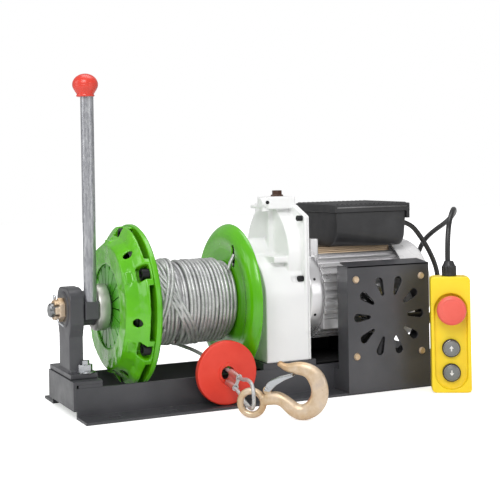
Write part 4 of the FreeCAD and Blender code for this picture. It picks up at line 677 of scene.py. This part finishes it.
def hull(corners):
    """Corners and faces of the tightest skin around some points."""
    skin = bmesh.new()
    for corner in corners:
        skin.verts.new(corner)
    found = bmesh.ops.convex_hull(skin, input=skin.verts)
    inside = found["geom_interior"] + found["geom_unused"]
    loose = {item for item in inside if isinstance(item, bmesh.types.BMVert)}
    bmesh.ops.delete(skin, geom=list(loose), context="VERTS")
    skin.verts.index_update()
    corners = [tuple(vertex.co) for vertex in skin.verts]
    faces = [tuple(vertex.index for vertex in face.verts) for face in skin.faces]
    skin.free()
    return corners, faces


def turned_shape(shape, angle):
    """A shape turned about the drum's axis."""
    turn = Matrix.Translation(DRUM_AXIS) @ Matrix.Rotation(angle, 4, "X") @ Matrix.Translation(-DRUM_AXIS)
    return [tuple(turn @ Vector(corner)) for corner in shape[0]], shape[1]


def joined(shapes, matrix=None):
    """One mesh from several shapes, in metres, with its faces pointing outwards."""
    mesh = new_mesh("joined", merged(shapes))
    tidy = bmesh.new()
    tidy.from_mesh(mesh)
    if matrix:
        bmesh.ops.transform(tidy, matrix=matrix, verts=tidy.verts)
    bmesh.ops.recalc_face_normals(tidy, faces=tidy.faces)
    tidy.to_mesh(mesh)
    tidy.free()
    return mesh


def moulded(name, material, body, adds=(), cuts=(), copy=None, voxel=0.0012, rounds=4, lumps=0.0, matrix=None,
            stands_for=()):
    """A piece with soft, cast edges: shapes (and a node's own shape) joined, hollowed and rounded over."""
    holder = new_object(name + "_base", joined(adds, matrix))
    if copy:
        source = frame["nodes"][copy]
        both = bmesh.new()
        both.from_mesh(source.data)
        bmesh.ops.transform(both, matrix=source.matrix_world, verts=both.verts)
        bmesh.ops.remove_doubles(both, verts=both.verts, dist=MERGE_GAP)
        both.from_mesh(holder.data)
        both.to_mesh(holder.data)
        both.free()
    tools = None
    if cuts:
        tools = new_object(name + "_tools", joined(cuts, matrix))
        carve = holder.modifiers.new("carve", "BOOLEAN")
        carve.operation = "DIFFERENCE"
        carve.object = tools
        carve.solver = "EXACT"
        carve.use_self = True
    remesh = holder.modifiers.new("remesh", "REMESH")
    remesh.mode = "VOXEL"
    remesh.voxel_size = voxel
    soften = holder.modifiers.new("soften", "SMOOTH")
    soften.factor = 0.5
    soften.iterations = rounds
    ready = holder.evaluated_get(bpy.context.evaluated_depsgraph_get())
    made = bpy.data.meshes.new_from_object(ready)
    bpy.data.objects.remove(holder)
    if tools:
        bpy.data.objects.remove(tools)
    vertices = [vertex.co.copy() for vertex in made.vertices]
    if lumps:
        for place, vertex in zip(vertices, made.vertices):
            swell = noise.noise(place * BROAD_LUMPS) + noise.noise(place * FINE_LUMPS) * FINE_SHARE
            place += vertex.normal * swell * lumps
    faces = [tuple(face.vertices) for face in made.polygons]
    piece = add_mesh(name, (vertices, faces), material, body)
    bpy.data.meshes.remove(made)
    nodes = ([copy] if copy else []) + list(stands_for)
    if nodes:
        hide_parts(*nodes)


def thread(name, start, radius, length, pitch, material, body):
    """Thread ridges along X: rings of a sawtooth section with a lead."""
    axis = Vector((1, 0, 0))
    across, other = square_to(axis)
    sides = 40
    count = int(length / pitch)
    root = radius - pitch * THREAD_DEPTH
    profile = []
    for index in range(count):
        profile += [(index * pitch, root), (index * pitch + pitch / 2, radius)]
    profile.append((count * pitch, root))
    vertices = []
    for along, reach in profile:
        for side, (cosine, sine) in enumerate(circle(sides)):
            lead = pitch * side / sides
            centre = Vector(start) + axis * (along + lead * 0.999)
            vertices.append(centre + (across * cosine + other * sine) * reach)
    add_mesh(name, (vertices, tube_faces(len(profile), sides, capped=False)), material, body)


def hexagon(centre, radius, start):
    """Six corners about a centre."""
    angles = [start + pi / 3 * side for side in range(6)]
    return [(centre[0] + radius * cos(angle), centre[1] + radius * sin(angle)) for angle in angles]


def upright(origin, along, depth):
    """The matrix from a piece's own upright axes to the winch's."""
    return Matrix.Translation(origin) @ Matrix((along, depth, (0, 0, 1))).transposed().to_4x4()


# The winch's pieces

LEVER_AXIS = (-0.2797, -0.029)


def make_ball():
    """Ball knob: a flattened dome above a seam, and a lower half that tapers to a neck."""
    profile = [(0, 0.0102), (0, 0.0128), (0.0008, 0.0138), (0.0024, 0.0138), (0.0032, 0.0128),
               (0.0044, 0.0132), (0.0075, 0.0152), (0.011, 0.0174), (0.0145, 0.019), (0.0172, 0.0196),
               (0.0176, 0.0193), (0.018, 0.0196)]
    for step in range(1, 15):
        angle = pi / 2 * step / 14
        profile.append((0.018 + 0.0172 * sin(angle), max(0.0197 * cos(angle), 0.0002)))
    seat = (LEVER_AXIS[0] - 0.0022, LEVER_AXIS[1], 0.4812)
    piece = lathe("ball_knob", profile, seat, (-0.006, 0, 1), "ball_plastic", "lever", 64)
    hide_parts("lever_ball")


def make_clutch():
    """Stamped clutch cover and the bright release bearing."""
    fills = []
    for index in range(6):
        patch = block((-0.2425, -0.0095, SHAFT_HEIGHT + 0.094), (-0.229, 0.0095, SHAFT_HEIGHT + 0.1035))
        fills.append(turned_shape(patch, radians(60 * index)))
    moulded("cover_stamping", "green_paint", "drum", fills, copy="clutch_cover", rounds=5, lumps=0.0014)
    profile = [(-0.2684, 0.0225), (-0.2684, 0.033), (-0.2668, 0.0352), (-0.264, 0.0362), (-0.2505, 0.0362),
               (-0.2488, 0.0354), (-0.248, 0.0338), (-0.248, 0.03), (-0.25, 0.029), (-0.25, 0.0225)]
    bearing = add_mesh("bearing_shell", drum_hoop(profile, 128), "bearing_steel", "release")
    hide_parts("release_bearing")


def make_flange():
    """Dished right flange with the rope's anchor slot, and the rope's tail in it."""
    profile = [(-0.0455, 0.016), (-0.0455, 0.082), (-0.0462, 0.088), (-0.0478, 0.095), (-0.0482, 0.101),
               (-0.047, 0.107), (-0.044, 0.1125), (-0.04, 0.117), (-0.0355, 0.1203), (-0.0315, 0.1215),
               (-0.0305, 0.119), (-0.0345, 0.1178), (-0.0385, 0.1145), (-0.042, 0.11), (-0.0444, 0.105),
               (-0.0452, 0.101), (-0.0448, 0.096), (-0.0432, 0.089), (-0.0425, 0.082), (-0.0425, 0.016)]
    rows = ((-0.0445, 0.24, 0.0056), (-0.0425, 0.231, 0.0066), (-0.0405, 0.2215, 0.0062),
            (-0.039, 0.214, 0.005))
    slot = [bar((-0.06, y, z), (-0.036, y, z), radius) for y, z, radius in rows]
    moulded("flange_pressing", "green_paint", "drum", [drum_hoop(profile, 160)], slot,
            stands_for=["drum_right_flange"], rounds=3)
    # Near-black plate behind the anchor slot: painted shade inside the slot.
    pocket = block((-0.0419, -0.052, 0.206), (-0.0399, -0.032, 0.248))
    add_mesh("slot_painted_shade", pocket, "painted_shade_black", "drum", smooth=False)
    places = ((-56, -44, 206), (-52, -43, 216), (-47, -41.5, 224), (-43.5, -41, 230))
    route = [Vector(point) * MM for point in places]
    tail = rope_rings(respaced(read_line(route), ROPE_STEP), ROPE_RADIUS * MM, 16)
    add_mesh("rope_tail", tail, "rope_steel", "drum")


def make_stand():
    """Tombstone-shaped stand with its weld, the bearing cap and the golden castle nut."""
    outline = [(-0.0285, 0.056), (-0.0285, 0.116), (-0.036, 0.136), (-0.037, 0.166)]
    for step in range(7):
        angle = pi - pi / 2 * step / 6
        outline.append((-0.015 + 0.022 * cos(angle), 0.168 + 0.022 * sin(angle)))
    outline += [(-y, z) for y, z in outline[::-1]]
    adds = [prism(outline, 0, -0.3135, -0.292), block((-0.318, -0.049, 0.0553), (-0.276, 0.069, 0.063))]
    adds += [bar((-0.313, y, 0.0625), (-0.29, y, 0.0625), 0.0035, 16) for y in (-0.0275, 0.0275)]
    adds += [bar((x, -0.028, 0.0625), (x, 0.028, 0.0625), 0.0035, 16) for x in (-0.3125, -0.2905)]
    bore = bar((-0.3135, 0, SHAFT_HEIGHT), (-0.2895, 0, SHAFT_HEIGHT), 0.024)
    moulded("stand_casting", "frame_paint", "base", adds, [bore], stands_for=["bearing_stand"],
            voxel=0.001, rounds=3)
    cap = [(-0.315, 0.0115), (-0.315, 0.0265), (-0.3138, 0.0285), (-0.31, 0.0285), (-0.31, 0.0115)]
    add_mesh("bearing_cap", drum_hoop(cap), "frame_paint", "base")
    outline = hexagon((0, SHAFT_HEIGHT), 0.0184, pi / 6)
    cuts = [bar((-0.34, 0, SHAFT_HEIGHT), (-0.3, 0, SHAFT_HEIGHT), 0.0112)]
    for side in range(3):
        slit = block((-0.332, -0.0025, 0.13), (-0.3235, 0.0025, 0.182))
        cuts.append(turned_shape(slit, radians(60 * side)))
    crown = bar((-0.33, 0, SHAFT_HEIGHT), (-0.3225, 0, SHAFT_HEIGHT), 0.0155)
    moulded("nut_forging", "yellow_zinc", "main_shaft", [prism(outline, 0, -0.3232, -0.3148), crown], cuts,
            stands_for=["castle_nut"], voxel=0.0005, rounds=3)
    low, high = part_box("stand_fasteners")
    washer = [(0, 0.003), (0, 0.0128), (0.0014, 0.0134), (0.0022, 0.0128), (0.0022, 0.003)]
    for side, y in (("front", low[1] + 0.0085), ("rear", high[1] - 0.0085)):
        shape = hoop(washer, ((low[0] + high[0]) / 2, y, 0.063), (0, 0, 1), 48)
        add_mesh("stand_washer_" + side, shape, "zinc", "base")
    thread("shaft_thread", (-0.3355, 0, SHAFT_HEIGHT), 0.01112, 0.0235, 0.0018, "shaft_steel", "main_shaft")


def make_gearbox():
    """Cast gearbox: softened body with its top block and boss, cover plate, screws and oil plug."""
    cuts = [
        prism([(-0.076, 0.2865), (-0.0295, 0.3059), (-0.0295, 0.335), (-0.076, 0.335)], 0, 0.055, 0.095),
        block((-0.003, -0.08, 0.2945), (0.0245, 0.13, 0.33)),
        block((0.01, 0.012, 0.3062), (0.05, 0.13, 0.33)),
    ]
    moulded("housing_casting", "white_paint", "base", (), cuts, copy="gear_housing", voxel=0.0013)
    boss = bar((0.014, -0.02, 0.3105), (0.029, -0.02, 0.3105), 0.0088)
    web = block((0.016, -0.0235, 0.296), (0.029, -0.0165, 0.306))
    moulded("housing_boss", "white_paint", "base", [boss, web], voxel=0.0009)
    above = [(-0.076, 0.2865), (-0.022, 0.3092), (0.0, 0.3092), (0.0, 0.335), (-0.076, 0.335)]
    slope = prism(above, 0, 0.07, 0.095)
    moulded("gear_cover_casting", "white_paint", "base", (),
            [slope, block((0.0778, -0.08, 0.04), (0.09, 0.13, 0.33))], copy="gear_cover", rounds=2)
    head = [(0.06, 0.0022), (0.06, 0.004), (0.0606, 0.0046), (0.07, 0.0046), (0.07, 0.0002),
            (0.063, 0.0002), (0.063, 0.0022)]
    places = ((-0.062, 0.285), (-0.0625, 0.1868), (0.104, 0.266), (0.104, 0.16))
    screws = [hoop(head, (0, y, z), (1, 0, 0), 32) for y, z in places]
    heads = add_mesh("flange_screws", merged(screws), "black_screw", "base")
    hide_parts("housing_screws")
    screw = bar((0.0235, -0.0298, 0.3112), (0.0235, -0.0225, 0.3112), 0.003, 24)
    add_mesh("boss_screw", screw, "black_screw", "base")
    top = prism(hexagon((0.0595, 0.008), 0.0086, 0.3), 2, 0.321, 0.3298)
    seat = bar((0.0595, 0.008, 0.3195), (0.0595, 0.008, 0.3225), 0.0105)
    moulded("plug", "brown_plastic", "base", [top, seat], stands_for=["oil_plug"], voxel=0.0006, rounds=2)


def make_motor():
    """Bright front shield with its lug and black discs as painted shade in its two holes, a near-black cradle
    under the motor that is partly its support and partly painted shade, and brown and cream stripes under the
    box as painted reflection and shade on the fins.
    """
    z = DRUM_AXIS.z
    profile = [(0.0778, 0.013), (0.0778, 0.072), (0.0792, 0.0738), (0.098, 0.0745), (0.101, 0.0738),
               (0.1036, 0.0705), (0.1038, 0.06), (0.099, 0.06), (0.099, 0.013)]
    lug = block((0.0955, -0.04, z + 0.058), (0.1105, -0.022, z + 0.093))
    moulded("shield_casting", "cast_aluminium", "base", [drum_hoop(profile, 128), lug],
            stands_for=["motor_front_shield"])
    # Black discs in the shield's two holes: painted shade inside the holes.
    for tag, height in (("shield_hole_shade", 0.1855), ("shield_low_hole_shade", 0.1265)):
        out = Vector((0, -0.0695, height - z)).normalized()
        centre = Vector((0.087, 0, z)) + out * 0.0743
        add_mesh(tag, bar(centre - out * 0.002, centre + out * 0.0004, 0.0022, 20), "black_screw", "base")
    # Near-black cradle: partly the motor's support, partly painted shade under and behind the motor.
    moulded("motor_cradle_painted_shade", "painted_shade_black", "base", [
        block((0.08, 0.05, 0.0453), (0.3, 0.056, 0.1)),
        block((0.08, -0.06, 0.0453), (0.3, 0.056, 0.0493)),
        block((0.176, -0.06, 0.0453), (0.181, 0.056, 0.086)),
    ], voxel=0.0016, rounds=2)
    # Brown and cream stripes under the terminal box: painted reflection and painted shade on the fin tops.
    stripes = [block((0.112, -0.0305, 0.216), (0.253, 0.04, 0.2348))]
    for index in range(5):
        height = 0.2195 + index * 0.0033
        stripes.append(bar((0.112, -0.0305, height), (0.253, -0.0305, height), 0.0013, 10))
    moulded("box_saddle", "fins_painted_reflection", "base", stripes, voxel=0.0008, rounds=1)


def make_box():
    """Moulded terminal box with round lower ends and a ribbed lid."""
    corners = [(x, y, 0.2925) for x in (0.131, 0.267) for y in (-0.065, 0.068)]
    for x, across, back, drop in ((0.131, 0.003, 0.034, 0.034), (0.267, -0.013, 0.007, 0.022)):
        for y, way in ((-0.065, 1), (0.068, -1)):
            centre = Vector((x + across, y + back * way, 0.2335 + drop))
            for ring in range(7):
                lean = pi / 2 * ring / 6
                flat, below = cos(lean), -sin(lean) * drop
                for cosine, sine in circle(24):
                    out = Vector((cosine * flat * across, sine * flat * back, below))
                    corners.append(tuple(centre + out))
    moulded("box_tub", "black_plastic", "base", [hull(corners)], stands_for=["terminal_box"], voxel=0.0014)
    adds = [
        block((0.1275, -0.0685, 0.2915), (0.2705, 0.0715, 0.3045)),
        block((0.267, -0.0685, 0.279), (0.273, -0.038, 0.3048)),
    ]
    for index in range(16):
        x = 0.1325 + index * 0.0088
        adds.append(bar((x, -0.0675, 0.3043), (x, 0.07, 0.3043), 0.0023, 12))
    moulded("box_lid", "black_plastic", "base", adds, stands_for=["terminal_box_lid"], voxel=0.0009, rounds=2)
    # Light grey rod along the lid's front: a painted highlight line.
    rib = bar((0.132, -0.0687, 0.2995), (0.266, -0.0687, 0.2995), 0.0012, 12)
    add_mesh("lid_highlight_line", rib, "highlight_grey_plastic", "base")


def make_guard_top():
    """Folded top edge of the guard, mitred at both ends and rising to the back."""
    front, back = -0.1176, -0.085
    low, high = 0.2066, 0.2118
    outline = [(0.1205, front, low), (0.2756, front, low), (0.274, back, high), (0.1255, back, high)]
    vertices = [Vector(corner) for corner in outline]
    vertices += [corner - Vector((0, 0, 0.002)) for corner in vertices]
    faces = [(0, 1, 2, 3), (7, 6, 5, 4), (0, 4, 5, 1), (1, 5, 6, 2), (2, 6, 7, 3), (3, 7, 4, 0)]
    add_mesh("guard_top_fold", (vertices, faces), "frame_paint", "base", smooth=False)


def make_hook():
    """Forged eye hook with a folded sheet latch."""
    moulded("hook_forging", "yellow_zinc", "base", copy="hook", voxel=0.0008, rounds=5, lumps=0.0003)
    place = upright(HOOK_FOOT * MM, HOOK_ALONG, HOOK_NORMAL)
    outline = [(0.02, 0.0415), (0.0245, 0.052), (0.03, 0.0565), (0.042, 0.0615), (0.063, 0.067),
               (0.065, 0.064), (0.052, 0.0585), (0.038, 0.05), (0.029, 0.0405)]
    inner = [(0.018, 0.036), (0.0235, 0.05), (0.03, 0.0545), (0.042, 0.0597), (0.06, 0.0645), (0.068, 0.06),
             (0.052, 0.048), (0.032, 0.034)]
    sheet, hollow = prism(outline, 1, -0.0072, 0.0072), prism(inner, 1, -0.0056, 0.0056)
    moulded("latch_sheet", "zinc", "latch", [sheet], [hollow], stands_for=["hook_latch"], voxel=0.0006,
            rounds=2, matrix=place)
    pivot = Vector((0.024, 0, 0.0445))
    corners, faces = bar(pivot - Vector((0, 0.0085, 0)), pivot + Vector((0, 0.0085, 0)), 0.0021, 24)
    corners = [tuple(place @ Vector(corner)) for corner in corners]
    add_mesh("latch_pin", (corners, faces), "zinc", "latch")


# Hanging control

PENDANT_YAW = radians(30.2)
PENDANT_FRONT = Vector((0.275, -0.1803, 0))
PENDANT_ALONG = Vector((cos(PENDANT_YAW), -sin(PENDANT_YAW), 0))
PENDANT_DEPTH = Vector((sin(PENDANT_YAW), cos(PENDANT_YAW), 0))
MUSHROOM_HEIGHT = 0.1345
UP_HEIGHT, DOWN_HEIGHT = 0.0715, 0.032


def pendant_at(u, depth, z):
    """A point on the pendant, from its front's bottom centre."""
    return PENDANT_FRONT + PENDANT_ALONG * u + PENDANT_DEPTH * depth + Vector((0, 0, z))


def make_pendant():
    """Pendant body with its recess, round mushroom head, grey buttons and ribbed gland."""
    place = upright(PENDANT_FRONT, PENDANT_ALONG, PENDANT_DEPTH)

    def rounded_frame(half, low, high, radius):
        """A rounded rectangle's (u, z) corners."""
        corners = []
        for u, z, start in ((half, high, 0), (-half, high, 90), (-half, low, 180), (half, low, 270)):
            centre_u = u - copysign(radius, u)
            centre_z = z - copysign(radius, z - (low + high) / 2)
            for step in range(7):
                angle = radians(start + 15 * step)
                corners.append((centre_u + radius * cos(angle), centre_z + radius * sin(angle)))
        return corners

    front = prism(rounded_frame(0.0318, 0.0, 0.1868, 0.006), 1, 0.0, 0.0295)
    back = prism(rounded_frame(0.0308, 0.0008, 0.186, 0.006), 1, 0.029, 0.046)
    cuts = [prism(rounded_frame(0.0262, 0.005, 0.16, 0.0258), 1, -0.01, 0.0085)]
    moulded("pendant_body", "yellow_plastic", "base", [front, back], cuts, matrix=place, rounds=5,
            stands_for=["pendant_front", "pendant_back"], voxel=0.0011)
    outward = -PENDANT_DEPTH
    stop_place = pendant_at(0, 0, MUSHROOM_HEIGHT)
    head = [(-0.01, 0.011), (0.0096, 0.011), (0.0098, 0.0222), (0.0106, 0.0232), (0.012, 0.0235),
            (0.0172, 0.0232), (0.0192, 0.0218), (0.0205, 0.0192), (0.0207, 0.0176), (0.0204, 0.017),
            (0.0207, 0.0163), (0.0213, 0.012), (0.0215, 0.0002)]
    # The head's pinkish red is its red with painted light.
    button = lathe("mushroom_head", head, stop_place, outward, "painted_light_red_plastic", "estop")
    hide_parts("estop_button")
    cap = [(-0.018, 0.006), (-0.004, 0.006), (-0.004, 0.0118), (0.0, 0.0118), (0.0005, 0.0114),
           (0.0005, 0.0002)]
    rim = [(-0.0075, 0.0121), (-0.0075, 0.0146), (-0.0028, 0.0146), (-0.0021, 0.0141), (-0.0017, 0.013),
           (-0.0019, 0.0121)]
    band = [(-0.003, 0.01185), (-0.003, 0.0127), (-0.0012, 0.0127), (-0.001, 0.0123), (-0.0012, 0.01185)]
    for tag, height, body, node in (("up_cap", UP_HEIGHT, "up", "up_button"),
                                    ("down_cap", DOWN_HEIGHT, "down", "down_button")):
        place = pendant_at(0, 0, height)
        piece = lathe(tag, cap, place, outward, "grey_plastic", body, 64)
        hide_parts(node)
        add_mesh(tag + "_rim", hoop(rim, place, outward, 64), "black_plastic", "base")
        add_mesh(tag + "_ring", hoop(band, place, outward, 64), "zinc", "base")
    collar = [(-0.0075, 0.0113), (-0.0075, 0.019), (-0.004, 0.019), (-0.003, 0.018), (-0.003, 0.0113)]
    collars = add_mesh("mushroom_collar", hoop(collar, stop_place, outward, 64), "black_plastic", "base")
    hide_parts("button_collars")
    centre = pendant_at(0, 0.023, 0)

    def raised(radius, low, high, sides=48, end_radius=None, out=Vector()):
        """An upright bar of the gland, between two heights."""
        foot = centre + out
        return bar(foot + Vector((0, 0, low)), foot + Vector((0, 0, high)), radius, sides, end_radius)

    adds = [raised(0.0118, 0.1855, 0.1902), raised(0.0108, 0.19, 0.2035)]
    adds.append(raised(0.0104, 0.203, 0.211, end_radius=0.0072))
    for cosine, sine in circle(14):
        adds.append(raised(0.0012, 0.1912, 0.2026, 10, out=Vector((cosine, sine, 0)) * 0.0108))
    moulded("gland_nut", "black_plastic", "base", adds, stands_for=["pendant_gland"], voxel=0.0006, rounds=1)


def make_arrows():
    """Generic up and down arrows on the two buttons."""
    outline = [(-0.001, -0.0044), (0.001, -0.0044), (0.001, 0.0), (0.0036, 0.0), (0, 0.0046),
               (-0.0036, 0.0), (-0.001, 0.0)]
    arrows = (("up_arrow", UP_HEIGHT, 1, "up"), ("down_arrow", DOWN_HEIGHT, -1, "down"))
    for name, centre, way, body in arrows:
        vertices = []
        for depth in (-0.00085, -0.0004):
            vertices += [pendant_at(u, depth, centre + way * z) for u, z in outline]
        count = len(outline)
        faces = [tuple(range(count)), tuple(reversed(range(count, 2 * count)))]
        faces += [(i, (i + 1) % count, (i + 1) % count + count, i + count) for i in range(count)]
        add_mesh(name, (vertices, faces), "arrow_white", body, smooth=False)


# Lights, floor and backdrop

def add_light(name, place, target, size, power):
    """A soft rectangular light."""
    data = bpy.data.lights.new(name, "AREA")
    data.shape = "RECTANGLE"
    data.size, data.size_y = size
    data.energy = power
    light = new_object(name, data)
    light.location = place
    light.rotation_mode = "QUATERNION"
    light.rotation_quaternion = (Vector(target) - Vector(place)).to_track_quat("-Z", "Y")


def floor_white():
    """Matt white floor with shadows near the winch, glowing white for the camera elsewhere."""
    n = Nodes("floor_white")
    tone = n.ramp(n.noise(3, 2), [(0.3, 0.93), (0.7, 0.95)])
    n.surface(tone, 0.7, 0.0)
    away = n.add("ShaderNodeVectorMath", Vector=n.where)
    away.operation = "LENGTH"
    far = n.ramp(n.maths("MULTIPLY", away.outputs["Value"], 0.5), [(0.16, 0.45), (0.34, 1.0)])
    seen = n.add("ShaderNodeLightPath").outputs["Is Camera Ray"]
    glow = n.add("ShaderNodeEmission", Color=(1, 1, 1, 1))
    n.put(glow, "Strength", n.maths("MULTIPLY", n.maths("MULTIPLY", far, 1.05), seen))
    both = n.add("ShaderNodeAddShader")
    n.tree.links.new(n.shader.outputs[0], both.inputs[0])
    n.tree.links.new(glow.outputs[0], both.inputs[1])
    n.tree.links.new(both.outputs[0], n.tree.nodes["Material Output"].inputs["Surface"])
    return n.material


def make_studio():
    """White studio: bright sky for the camera, softer light on the object, and a pale floor."""
    scene = bpy.context.scene
    scene.view_settings.view_transform = "Standard"
    world = bpy.data.worlds.new("studio")
    scene.world = world
    world.use_nodes = True
    tree = world.node_tree
    background = tree.nodes["Background"]
    seen = tree.nodes.new("ShaderNodeBackground")
    for node, strength in ((background, 0.4), (seen, 1.0)):
        node.inputs["Color"].default_value = (1, 1, 1, 1)
        node.inputs["Strength"].default_value = strength
    path = tree.nodes.new("ShaderNodeLightPath")
    mix = tree.nodes.new("ShaderNodeMixShader")
    tree.links.new(path.outputs["Is Camera Ray"], mix.inputs["Fac"])
    tree.links.new(background.outputs[0], mix.inputs[1])
    tree.links.new(seen.outputs[0], mix.inputs[2])
    tree.links.new(mix.outputs[0], tree.nodes["World Output"].inputs["Surface"])
    reach = 6
    corners = [(-reach, -reach, 0), (reach, -reach, 0), (reach, reach, 0), (-reach, reach, 0)]
    mesh = new_mesh("floor", (corners, [(0, 1, 2, 3)]))
    floor = new_object("floor", mesh)
    floor.location.z = -0.0002
    mesh.materials.append(floor_white())
    add_light("key", (-1.6, -2.2, 2.4), (0, 0, 0.15), (1.6, 1.6), 58)
    add_light("side", (-2.6, 0.4, 1.2), (0, 0, 0.2), (1.2, 1.8), 14)
    add_light("top", (0.2, 0.3, 2.6), (0, 0, 0.1), (2.0, 1.4), 24)
    add_light("front", (1.4, -2.6, 0.9), (0.1, 0, 0.15), (1.4, 1.2), 10)


make_materials()
make_camera()
dress_nodes()
make_cable()
make_rope_end()
make_winding()
make_ball()
make_clutch()
make_flange()
make_stand()
make_gearbox()
make_motor()
make_box()
make_guard_top()
make_pendant()
make_hook()
make_arrows()
make_studio()
